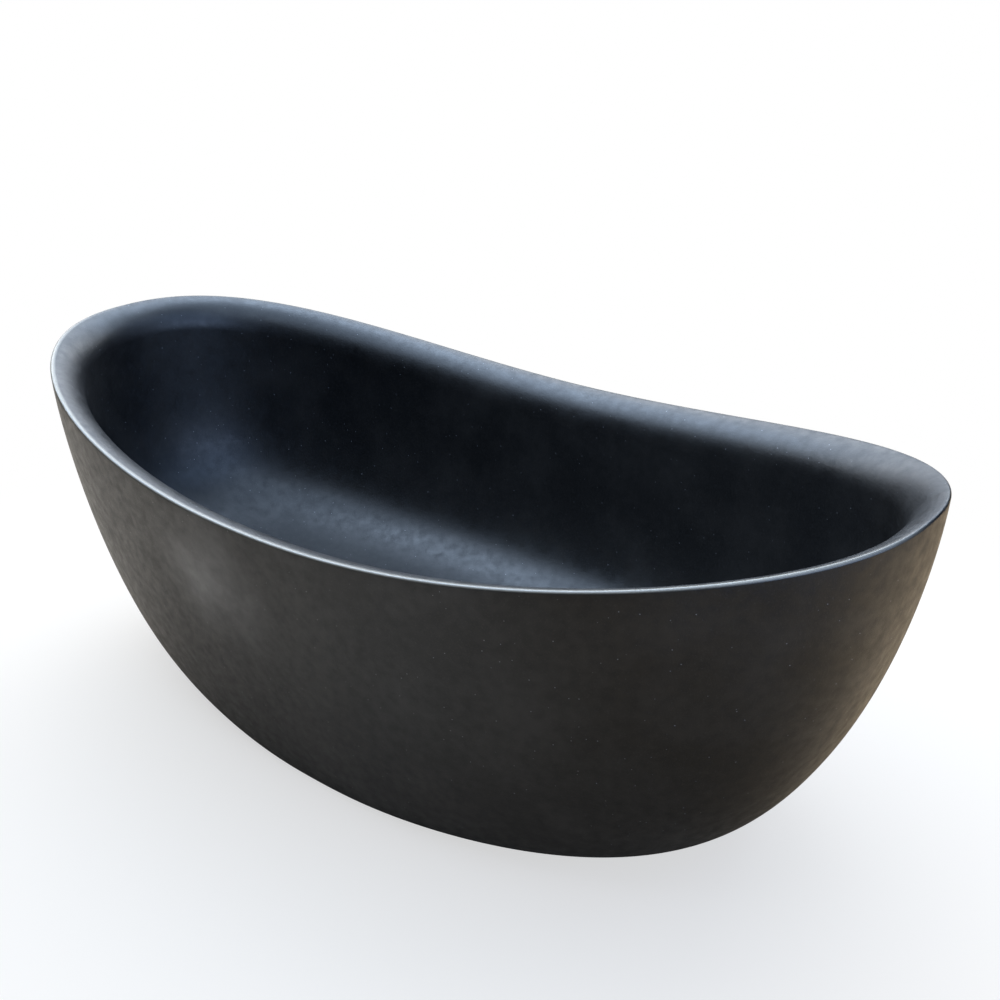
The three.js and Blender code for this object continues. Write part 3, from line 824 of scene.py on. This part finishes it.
    def recess_strips(self) -> Iterable[Strip]:
        """The wall, fillet and ceiling of the recess under the floor."""
        size, across = self.size, self.across
        fillet, ceiling = size["recess_fillet"], size["underside"]
        ring, draft = size["ring_width"], size["recess_draft"]
        low = size["base_height"] + size["small_round"]
        wall = self.base_plan(ring + across * draft)
        yield Strip(self.DRAFT_STEPS, (*wall, across.between(low, ceiling - fillet)))
        cove = self.base_plan(ring + draft + fillet * self.rise)
        yield Strip(self.FILLET_STEPS, (*cove, ceiling - fillet * self.fall))
        outer = self.base_plan(ring + draft + fillet)
        inner = self.round_plan(size["hole_radius"] + size["small_round"])
        top = (across.between(o, i) for o, i in zip(outer, inner))
        yield Strip(self.CEILING_STEPS, (*top, self.level(ceiling)))

    def hole_strips(self) -> Iterable[Strip]:
        """The hole for the waste, and the counterbore that its flange lies in."""
        size, across, small = self.size, self.across, self.size["small_round"]
        hole, bore = size["hole_radius"], size["counterbore_radius"]
        low, seat, floor = size["underside"], size["seat_height"], size["floor_height"]
        lip = self.round_plan(hole + small * self.fall)
        yield Strip(self.ROUND_STEPS, (*lip, low + small * self.rise))
        wall = self.round_plan(self.level(hole))
        yield Strip(self.ROUND_STEPS, (*wall, across.between(low + small, seat)))
        yield Strip(self.BORE_STEPS, (*self.round_plan(across.between(hole, bore)), self.level(seat)))
        wall = self.round_plan(self.level(bore))
        yield Strip(self.BORE_STEPS, (*wall, across.between(seat, floor - small)))
        mouth = self.round_plan(bore + small * self.rise)
        yield Strip(self.ROUND_STEPS, (*mouth, floor - small * self.fall))


# --- Turned and cut work ---


@dataclass(frozen=True)
class Cut:
    """A thread, which climbs one pitch in each turn, or straight ribs, which have no pitch."""

    depth: float
    pitch: float = math.inf
    ridges: int = 1


@dataclass(frozen=True)
class Bend:
    """A corner of a turned outline in millimetres, the radius that rounds it, and what is cut
    into the stretch after it."""

    radius: float
    height: float
    rounding: float = 0.0
    cut: Cut | None = None


PointRow = tuple[float, float, float, float, float]


@dataclass(frozen=True)
class TurnedWork:
    """A closed outline in millimetres, turned about the waste's axis, then threaded or ribbed.

    The outline runs with the material on its left.
    """

    name: str
    outline: tuple[Bend, ...]
    sides: int = 96

    ARC_STEPS = 5
    SHOULDER = 0.08
    ROWS_PER_PITCH = 6
    STRAIGHT_ROWS = 8
    PLAIN_END = 0.5
    MERGE_DISTANCE = 0.002 * MM
    LEAST_RADIUS = 0.01 * MM
    CUT_NAMES = ("cut_depth", "cut_waves", "cut_ridges")

    def points(self) -> list[PointRow]:
        """Walks the outline with its corners rounded and its cut stretches divided.

        Returns:
            Radius, height, depth of cut, cuts to the millimetre and ridges at each point.
        """
        found: list[PointRow] = []
        count = len(self.outline)
        for i, bend in enumerate(self.outline):
            before, after = self.outline[i - 1], self.outline[(i + 1) % count]
            here, end = Vector((bend.radius, bend.height)), Vector((after.radius, after.height))
            back = Vector((before.radius, before.height)) - here
            corner = self.arc(here, back, end - here, bend.rounding) if bend.rounding else [here]
            found += [(p.x, p.y, 0.0, 0.0, 0.0) for p in corner]
            if bend.cut:
                found += self.rows(corner[-1], end, bend.cut)
        return found

    def arc(self, here: Vector, back: Vector, ahead: Vector, rounding: float) -> list[Vector]:
        """Rounds one corner, with a short shoulder on each side of the arc.

        Args:
            here: The sharp corner.
            back: From it to the corner before.
            ahead: From it to the corner after.
            rounding: Radius of the arc.

        Returns:
            The points of the rounded corner.
        """
        back, ahead = back.normalized(), ahead.normalized()
        opening = back.angle(ahead)
        reach, sweep = rounding / math.tan(opening / 2), math.pi - opening
        middle = here + (back + ahead).normalized() * (rounding / math.sin(opening / 2))
        start, end = here + back * reach - middle, here + ahead * reach - middle
        arc = []
        for i in range(self.ARC_STEPS + 1):
            share = i / self.ARC_STEPS
            weights = math.sin((1 - share) * sweep), math.sin(share * sweep)
            arc.append(middle + (start * weights[0] + end * weights[1]) / math.sin(sweep))
        return [arc[0] + back * self.SHOULDER, *arc, arc[-1] + ahead * self.SHOULDER]

    def rows(self, start: Vector, end: Vector, cut: Cut) -> list[PointRow]:
        """Divides a cut stretch into rows, where the cut fades in and out at the ends.

        Args:
            start: Where the stretch starts.
            end: Where it ends.
            cut: What is cut. It goes outwards on a stretch that runs down, which is a bore.

        Returns:
            The points between both ends.
        """
        length = (end - start).length
        least = length / self.STRAIGHT_ROWS
        count = math.ceil(length / min(cut.pitch / self.ROWS_PER_PITCH, least))
        fade = min(cut.pitch, least)
        deepest = cut.depth if end.y > start.y else -cut.depth
        found = []
        for i in range(1, count):
            along = length * i / count
            left = (length - along) / fade - self.PLAIN_END
            depth = deepest * max(0.0, min(1.0, along / fade, left))
            place = start.lerp(end, i / count)
            found.append((place.x, place.y, depth, 1 / cut.pitch, float(cut.ridges)))
        return found

    def trim(self, angle: float, radius: float, height: float) -> tuple[float, float]:
        """Where a point of the outline comes to lie at an angle. Round work leaves it alone."""
        return radius, height

    def mesh(self) -> bpy.types.Mesh:
        """Turns the outline into a closed mesh, with the cut kept as numbers on its points."""
        points = self.points()
        count, step = len(points), FULL_TURN / self.sides
        places, faces = [], []
        for side in range(self.sides):
            angle = side * step
            here, following = side * count, (side + 1) % self.sides * count
            for i, point in enumerate(points):
                radius, height = self.trim(angle, point[0], point[1])
                place = Vector((radius * math.cos(angle), radius * math.sin(angle), height))
                places.append(place * MM)
                j = (i + 1) % count
                faces.append((here + i, following + i, following + j, here + j))
        mesh = bpy.data.meshes.new(self.name)
        mesh.from_pydata(places, [], faces)
        for i, name in enumerate(self.CUT_NAMES):
            numbers = [point[i + 2] for point in points] * self.sides
            mesh.attributes.new(name, "FLOAT", "POINT").data.foreach_set("value", numbers)
        tidy = bmesh.new()
        tidy.from_mesh(mesh)
        bmesh.ops.remove_doubles(tidy, verts=tidy.verts, dist=self.MERGE_DISTANCE)
        tidy.to_mesh(mesh)
        tidy.free()
        return mesh

    @classmethod
    def cut_work(cls, maker: Maker) -> Socket:
        """Cuts the threads and ribs into the mesh that a tree is given."""
        depth, waves, ridges = (
            maker.field(maker.add("GeometryNodeInputNamedAttribute", {"Name": name}))
            for name in cls.CUT_NAMES
        )
        x, y, z = maker.place()
        phase = FULL_TURN / MM * z * waves - ridges * y.apply("ARCTAN2", x)
        groove = depth * MM * (0.5 - 0.5 * phase.cosine())
        radius = (x * x + y * y).root().apply("MAXIMUM", cls.LEAST_RADIUS)
        share = 1.0 - groove / radius
        return maker.moved(maker.given.outputs["Geometry"], (x * share, y * share, z))

    def build(self, material: bpy.types.Material, body: Body, slot: Slot) -> bpy.types.Object:
        """Makes the piece and lets it stand for the frame's node of the same name."""
        maker = Maker.begin(self.name, with_mesh=True)
        maker.end(self.cut_work(maker))
        piece = maker.run("looks_" + self.name, material, mesh=self.mesh())
        return finish_piece(piece, body, slot, self.name)


@dataclass(frozen=True)
class NutWork(TurnedWork):
    """Turned work that is milled to a regular number of flats, the way a nut is."""

    flats: int = 6
    across: float = 1.0

    CHAMFER_SLOPE = math.tan(math.radians(30))

    def trim(self, angle: float, radius: float, height: float) -> tuple[float, float]:
        """Brings a point beyond a flat down to it, along the chamfer of the turned blank."""
        step = FULL_TURN / self.flats
        limit = self.across / 2 / math.cos((angle + step / 2) % step - step / 2)
        if radius <= self.across / 2 or radius <= limit:
            return radius, height
        heights = [bend.height for bend in self.outline]
        upper = height > (min(heights) + max(heights)) / 2
        rise = (radius - limit) * self.CHAMFER_SLOPE
        return limit, height + rise if upper else height - rise


def ring_work(name: str, bore: float, radius: float, low: float, high: float,
              rounding: float) -> TurnedWork:
    """A plain flat ring with rounded edges, in millimetres."""
    corners = ((bore, low), (radius, low), (radius, high), (bore, high))
    return TurnedWork(name, tuple(Bend(*corner, rounding) for corner in corners))


def dome(radius: float, low: float, rise: float, steps: int = 20) -> tuple[Bend, ...]:
    """The corners of a shallow crown, from next to its edge to its middle."""
    shares = (i / steps for i in range(steps - 1, -1, -1))
    return tuple(Bend(radius * s, low + rise * (1 - s * s)) for s in shares)


def grooves(first: float, spacing: float, count: int, width: float, depth: float) -> tuple[Bend, ...]:
    """The corners of round grooves in a flat underside at height 0, from the middle outwards."""
    corners = ((0.0, 0.0, 0.2), (0.25, depth, 0.15), (0.75, depth, 0.15), (1.0, 0.0, 0.2))
    return tuple(
        Bend(first + i * spacing + width * share, height, rounding)
        for i in range(count)
        for share, height, rounding in corners
    )


PIPE_THREAD = Cut(depth=1.2, pitch=2.309)
FINE_THREAD = Cut(depth=0.5, pitch=1.0)

FLANGE_AND_TUBE = TurnedWork("waste_flange", (
    Bend(20.5, 51.6, 0.4),
    Bend(23.9, 51.6, 0.6, PIPE_THREAD),
    Bend(23.9, 99.0),
    Bend(23.9, 112.6, 0.3),
    Bend(35.0, 112.6, 0.5),
    Bend(35.0, 117.9, 1.5),
    Bend(30.0, 117.9, 1.2),
    Bend(26.5, 114.2, 1.0),
    Bend(20.5, 114.2, 0.6),
))
WEB_BOSS = TurnedWork("web_boss", (
    Bend(7.8, 85.9, 0.5),
    Bend(11.0, 85.9, 0.7),
    Bend(11.0, 91.9, 0.7),
    Bend(7.8, 91.9, 0.5),
))
BACKNUT = NutWork("backnut", (
    Bend(24.2, 61.6, 0.6),
    Bend(30.5, 61.6, 0.3),
    Bend(35.6, 64.545),
    Bend(35.6, 68.655),
    Bend(30.5, 71.6, 0.3),
    Bend(24.2, 71.6, 0.6, PIPE_THREAD),
), flats=6, across=62.0)
TAIL_NUT = NutWork("tail_nut", (
    Bend(20.3, 42.7, 0.4),
    Bend(28.0, 42.7, 0.3),
    Bend(30.5, 44.143),
    Bend(30.5, 56.157),
    Bend(28.0, 57.6, 0.3),
    Bend(24.2, 57.6, 0.5, PIPE_THREAD),
    Bend(24.2, 45.7),
    Bend(20.3, 45.7, 0.3),
), flats=8, across=56.8)
TAILPIECE = TurnedWork("tailpiece", (
    Bend(18.0, 12.0, 0.5),
    Bend(20.0, 12.0, 0.7),
    Bend(20.0, 46.0, 0.7),
    Bend(23.0, 46.0, 0.4),
    Bend(23.0, 48.5, 0.5),
    Bend(18.0, 48.5, 0.6),
))
CARTRIDGE = TurnedWork("click_cartridge", (
    Bend(0.0, 74.0),
    Bend(7.5, 74.0, 0.7, FINE_THREAD),
    Bend(7.5, 92.2),
    Bend(10.0, 92.2, 0.3, Cut(depth=0.45, ridges=40)),
    Bend(10.0, 94.9, 0.3),
    Bend(7.5, 94.9, 0.3),
    Bend(7.5, 105.0, 0.9),
    Bend(3.3, 105.0, 0.4),
    Bend(3.3, 103.0, 0.2),
    Bend(5.0, 103.0, 0.3),
    Bend(5.0, 76.0, 0.3),
    Bend(0.0, 76.0),
), sides=240)
PLUNGER = TurnedWork("cartridge_plunger", (
    Bend(0.0, 96.0),
    Bend(4.7, 96.0, 0.5),
    Bend(4.7, 99.0, 0.5),
    Bend(3.0, 99.0, 0.3),
    Bend(3.0, 116.5, 0.0, Cut(depth=0.35, pitch=0.8)),
    Bend(3.0, 123.7, 0.5),
    Bend(0.0, 123.7),
), sides=48)
PLUG_CAP = TurnedWork("plug_cap", (
    Bend(0.0, 124.0),
    Bend(3.3, 124.0),
    Bend(3.3, 116.0, 0.3),
    Bend(7.0, 116.0, 0.6),
    Bend(7.0, 122.6, 0.8),
    Bend(16.7, 122.6, 0.5),
    Bend(16.7, 126.3, 0.3),
    Bend(31.0, 126.3, 0.9),
    Bend(31.0, 129.3, 0.9),
    *dome(31.0, 129.3, 2.4),
), sides=144)
PAD = TurnedWork("pad", (
    Bend(0.0, 0.0),
    *grooves(first=4.0, spacing=4.4, count=5, width=1.6, depth=0.9),
    Bend(25.0, 0.0, 0.8),
    Bend(25.0, 3.0, 0.4),
    Bend(0.0, 3.0),
), sides=72)
RINGS = (
    ring_work("flange_seal", 24.2, 34.0, 110.3, 112.3, 0.6),
    ring_work("lower_seal", 24.2, 34.0, 73.7, 77.7, 0.9),
    ring_work("tail_seal", 17.0, 23.0, 48.8, 51.3, 0.7),
)
PLUG_SEAL = ring_work("plug_seal", 17.0, 25.0, 122.6, 126.0, 0.9)
SLIP_WASHER = ring_work("slip_washer", 24.2, 34.0, 71.9, 73.4, 0.3)


@dataclass(frozen=True)
class WasteFlange(Sized):
    """The flange and its threaded tube, with the web of rounded arms across the bore."""

    arm_start: float = 9.4 * MM
    arm_end: float = 21.9 * MM
    arm_thickness: float = 3.2 * MM
    arm_height: float = 6 * MM
    arm_rounding: float = 0.8 * MM
    arm_middle: float = 88.9 * MM

    ARMS = 4

    def arms(self, maker: Maker) -> Socket:
        """Lays one rounded bar outwards and repeats it round the axis."""
        numbers = maker.given.outputs
        section = {"Width": numbers["arm_height"], "Height": numbers["arm_thickness"]}
        profile = maker.add("GeometryNodeCurvePrimitiveQuadrilateral", section)
        rounding = {"Curve": profile, "Count": 5, "Radius": numbers["arm_rounding"]}
        profile = maker.add("GeometryNodeFilletCurve", rounding, mode="POLY")
        start, end = (
            maker.add("ShaderNodeCombineXYZ", {0: numbers[name], 2: numbers["arm_middle"]})
            for name in ("arm_start", "arm_end")
        )
        line = maker.add("GeometryNodeCurvePrimitiveLine", {"Start": start, "End": end})
        sweep = {"Curve": line, "Profile Curve": profile, "Fill Caps": True}
        bar = maker.add("GeometryNodeCurveToMesh", sweep)
        points = maker.add("GeometryNodePoints", {"Count": self.ARMS, "Radius": MM})
        index = maker.field(maker.add("GeometryNodeInputIndex"))
        angle = (index + 0.5) * (FULL_TURN / self.ARMS)
        turn = maker.add("ShaderNodeCombineXYZ", {2: angle.socket})
        copies = {"Points": points, "Instance": bar, "Rotation": turn}
        return maker.add("GeometryNodeInstanceOnPoints", copies)

    def build(self, chrome: bpy.types.Material) -> bpy.types.Object:
        """Makes the flange, its boss and arms, and unites them."""
        maker, _ = self.begin("waste_flange", with_mesh=True)
        arms = maker.add("GeometryNodeRealizeInstances", {"Geometry": self.arms(maker)})
        union = add_node(maker.tree, "GeometryNodeMeshBoolean", operation="UNION", solver="EXACT")
        for part in (TurnedWork.cut_work(maker), arms):
            maker.tree.links.new(part, union.inputs["Mesh 2"])
        maker.end(union.outputs[0])
        mesh = joined_mesh(FLANGE_AND_TUBE.mesh(), WEB_BOSS.mesh())
        piece = maker.run("looks_waste_flange", chrome, self.numbers(), mesh)
        return finish_piece(piece, Body.BATH, Slot.CHROME, "waste_flange")


def joined_mesh(first: bpy.types.Mesh, second: bpy.types.Mesh) -> bpy.types.Mesh:
    """Puts the second mesh into the first one as a loose part."""
    both = bmesh.new()
    both.from_mesh(first)
    both.from_mesh(second)
    both.to_mesh(first)
    both.free()
    return first


@dataclass(frozen=True)
class CoilSpring(Sized):
    """The spring that lifts the plug: round wire with its end turns wound shut."""

    coil_radius: float = 3.9 * MM
    wire_radius: float = 0.45 * MM
    bottom: float = 76.3 * MM
    length: float = 19.4 * MM
    travel: float = 8 * MM
    turns: int = 7

    STEPS_PER_TURN = 32
    WIRE_SIDES = 14
    NODE = "cartridge_spring"

    def maker(self) -> Maker:
        """Builds the tree that bends a line of points into the coil and sweeps the wire."""
        maker, size = self.begin(self.NODE)
        count = self.turns * self.STEPS_PER_TURN + 1
        line = maker.add("GeometryNodeMeshLine", {"Count": count})
        turn = maker.field(maker.add("GeometryNodeInputIndex")) / float(self.STEPS_PER_TURN)
        angle, wire = turn * FULL_TURN, size["wire_radius"] * 2.0
        shut = turn.ramp(0, 1) + turn.ramp(self.turns - 1, self.turns)
        climb = turn.ramp(1, self.turns - 1) * (size["length"] - wire * 3.0)
        height = size["bottom"] + size["wire_radius"] + shut * wire + climb
        around = (size["coil_radius"] * angle.cosine(), size["coil_radius"] * angle.sine(), height)
        curve = maker.add("GeometryNodeMeshToCurve", {"Mesh": maker.moved(line, around)})
        circle = {"Resolution": self.WIRE_SIDES, "Radius": size["wire_radius"].socket}
        profile = maker.add("GeometryNodeCurvePrimitiveCircle", circle)
        sweep = {"Curve": curve, "Profile Curve": profile, "Fill Caps": True}
        maker.end(maker.add("GeometryNodeCurveToMesh", sweep))
        return maker

    def build(self, steel: bpy.types.Material) -> bpy.types.Object:
        """Makes the spring and gives it a mesh of its own; in use it is squeezed as the plug goes down."""
        piece = self.maker().run("looks_cartridge_spring", steel, self.numbers())
        finish_piece(piece, Body.BATH, Slot.STEEL, self.NODE)
        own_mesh(piece)
        return piece


@dataclass(frozen=True)
class PadSet(Sized):
    """The ribbed round pads, spread round the middle line of the base ring."""

    plan_power: float = 2.3
    reach_along: float = 425 * MM
    reach_aside: float = 285 * MM
    count: int = 6

    def build(self, rubber: bpy.types.Material) -> bpy.types.Object:
        """Makes one pad and repeats it."""
        maker, size = self.begin("base_pads", with_mesh=True)
        angle = maker.field(maker.add("GeometryNodeInputIndex")) * FULL_TURN / size["count"]
        power = 2.0 * size["plan_power"] ** -1.0
        x = angle.cosine().signed_power(power) * size["reach_along"]
        y = angle.sine().signed_power(power) * size["reach_aside"]
        place = maker.add("ShaderNodeCombineXYZ", {0: x.socket, 1: y.socket})
        points = {"Count": self.count, "Position": place, "Radius": MM}
        pad = maker.given.outputs["Geometry"]
        copies = {"Points": maker.add("GeometryNodePoints", points), "Instance": pad}
        maker.end(maker.add("GeometryNodeInstanceOnPoints", copies))
        piece = maker.run("looks_base_pads", rubber, self.numbers(), PAD.mesh())
        nodes = [f"base_pad_{i + 1}" for i in range(self.count)]
        return finish_piece(piece, Body.BATH, Slot.PAD, *nodes)


def build_waste() -> None:
    """Makes every piece of the waste and its push-button plug."""
    chrome, brass = PolishedChrome().build(), TurnedBrass().build()
    seal = SEAL_RUBBER.build()
    WasteFlange().build(chrome)
    BACKNUT.build(brass, Body.BATH, Slot.BRASS)
    TAIL_NUT.build(chrome, Body.BATH, Slot.CHROME)
    TAILPIECE.build(chrome, Body.BATH, Slot.CHROME)
    CARTRIDGE.build(brass, Body.BATH, Slot.BRASS)
    SLIP_WASHER.build(WASHER_PLASTIC.build(), Body.BATH, Slot.WASHER)
    for ring in RINGS:
        ring.build(seal, Body.BATH, Slot.SEAL)
    CoilSpring().build(DrawnSpringSteel().build())
    PLUG_CAP.build(chrome, Body.PLUG, Slot.CHROME)
    PLUG_SEAL.build(seal, Body.PLUG, Slot.SEAL)
    PLUNGER.build(brass, Body.PLUG, Slot.BRASS)


# --- Studio ---


@dataclass(frozen=True)
class SoftBox:
    """A flat soft lamp that hangs round the bath and faces it.

    Azimuth runs clockwise from straight behind the bath, as seen from above. Level is its
    brightness, which takes four watts for each square metre.
    """

    name: str
    azimuth: float
    elevation: float
    distance: float
    width: float
    height: float
    level: float
    colour: str

    AIM = Vector((0, 0, 0.4))
    WATTS = 4.0

    def build(self) -> None:
        """Hangs the lamp."""
        azimuth, elevation = math.radians(self.azimuth), math.radians(self.elevation)
        flat = Vector((math.sin(azimuth), math.cos(azimuth), 0)) * math.cos(elevation)
        away = (flat + Vector((0, 0, math.sin(elevation)))) * self.distance
        data = bpy.data.lights.new(self.name, "AREA")
        data.shape = "RECTANGLE"
        data.size, data.size_y = self.width, self.height
        data.energy = self.WATTS * self.level * self.width * self.height
        data.color = linear(self.colour)[:3]
        lamp = add_object(self.name, data)
        lamp.location = self.AIM + away
        lamp.rotation_euler = away.to_track_quat("Z", "Y").to_euler()
        lamp.visible_camera = False


@dataclass(frozen=True)
class Studio:
    """A wide pale floor that fades to white, soft lamps and the camera.

    The camera sees one floor colour. What the floor throws back at the bath is warmer and
    changes from left to right, with a bright warm patch behind the right end.
    """

    floor_size: float = 60.0
    floor_colour: str = "#ffedd8"
    left_bounce: str = "#ceb89f"
    right_bounce: str = "#ac9070"
    back_bounce: str = "#e4ba8a"
    right_span: Span = (0.1, 0.8)
    back_span: Span = (-0.2, 0.4)
    fade_span: Span = (0.6, 1.6)
    near_glow: float = 0.62
    camera_azimuth: float = 40.552
    camera_elevation: float = 26.740
    camera_distance: float = 2.23146
    camera_roll: float = -0.250
    aim_height: float = 300 * MM
    lens: float = 44.113
    shift: tuple[float, float] = (0.06608, 0.06593)
    sensor_width: float = 36.0

    LAMPS = (
        SoftBox("key_box", -45, 52, 3.6, 8.6, 1.5, 3.1, "#cae2ff"),
        SoftBox("low_key_box", -45, 30, 3.6, 8.6, 1.0, 3.7, "#ecf4ff"),
        SoftBox("left_top_box", -72, 62, 3.6, 4.6, 1.5, 1.95, "#cfe4ff"),
        SoftBox("top_box", -120, 84, 3.6, 4.6, 3.8, 1.45, "#c4deff"),
        SoftBox("right_box", 98, 15, 3.6, 5.0, 1.4, 2.1, "#b4d0ff"),
        SoftBox("right_top_box", 85, 46, 3.6, 5.0, 1.8, 1.2, "#a9ccff"),
        SoftBox("front_right_box", 150, 58, 3.6, 4.6, 1.5, 0.35, "#d8e8ff"),
    )

    def floor(self) -> bpy.types.Object:
        """Makes the floor. It takes the shadow near the bath and fades to white far away."""
        half = self.floor_size / 2
        mesh = bpy.data.meshes.new("studio_floor")
        corners = [(-half, -half, 0), (half, -half, 0), (half, half, 0), (-half, half, 0)]
        mesh.from_pydata(corners, [], [(0, 1, 2, 3)])
        surface = Surface.begin("pale_studio_floor")
        seen = self.seen(surface.material.node_tree)
        distance = surface.add("ShaderNodeVectorMath", {0: surface.place}, 1, operation="LENGTH")
        bounce, share = self.left_bounce, 1.0
        patches = ((self.right_span, self.right_bounce), (self.back_span, self.back_bounce))
        for along, (span, colour) in zip(surface.coordinates(), patches):
            share = surface.ramp(along, span, end=share)
            bounce = surface.blend(share, bounce, colour)
        surface.give(
            Base_Color=surface.blend(seen, bounce, self.floor_colour),
            Roughness=1.0,
            Specular_IOR_Level=0.0,
        )
        glow = surface.ramp(distance, self.fade_span, self.near_glow, interpolation_type="SMOOTHSTEP")
        share = surface.add("ShaderNodeMath", {0: seen, 1: glow}, operation="MULTIPLY")
        white = surface.add("ShaderNodeEmission", {"Strength": 1.0})
        parts = {0: share, 1: surface.shader.outputs[0], 2: white}
        output = surface.material.node_tree.nodes["Material Output"]
        fill(output, {"Surface": surface.add("ShaderNodeMixShader", parts)})
        mesh.materials.append(surface.material)
        floor = add_object("studio_floor", mesh)
        return floor

    def seen(self, tree: bpy.types.NodeTree) -> Socket:
        """1 for what the camera sees straight or through something, and 0 for all else."""
        path = add_node(tree, "ShaderNodeLightPath").outputs
        both = {0: path["Is Camera Ray"], 1: path["Is Transmission Ray"]}
        return add_node(tree, "ShaderNodeMath", both, operation="MAXIMUM").outputs[0]

    def world(self) -> None:
        """Makes the room: white to the camera and dark to all else."""
        world = bpy.data.worlds.new("studio_room")
        world.use_nodes = True
        tree = world.node_tree
        fill(tree.nodes["Background"], {"Color": linear("#ffffff"), "Strength": self.seen(tree)})
        bpy.context.scene.world = world

    def camera(self) -> None:
        """Places the camera on its line of sight and makes it the scene's camera."""
        azimuth, elevation = math.radians(self.camera_azimuth), math.radians(self.camera_elevation)
        flat = Vector((math.sin(azimuth), -math.cos(azimuth), 0)) * math.cos(elevation)
        back = flat + Vector((0, 0, math.sin(elevation)))
        data = bpy.data.cameras.new("camera")
        data.lens, data.sensor_width = self.lens, self.sensor_width
        data.shift_x, data.shift_y = self.shift
        camera = add_object("camera", data)
        roll = Matrix.Rotation(math.radians(self.camera_roll), 4, "Z")
        place = Matrix.Translation(Vector((0, 0, self.aim_height)) + back * self.camera_distance)
        camera.matrix_world = place @ back.to_track_quat("Z", "Y").to_matrix().to_4x4() @ roll
        bpy.context.scene.camera = camera

    def build(self) -> None:
        """Sets up the whole studio."""
        self.floor()
        self.world()
        self.camera()
        for lamp in self.LAMPS:
            lamp.build()
        bpy.context.scene.view_settings.view_transform = "Standard"


def main() -> None:
    """Builds every piece and the studio, and reports each piece."""
    logging.basicConfig(level=logging.INFO, format="%(name)s: %(message)s")
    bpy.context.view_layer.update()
    low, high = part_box(BathBody.NODE)
    body = BathBody(high.x - low.x, high.y - low.y, high.z, low.z)
    body.build(HonedCastStone().build())
    build_waste()
    PadSet().build(PAD_RUBBER.build())
    Studio().build()


if __name__ == "__main__":
    main()
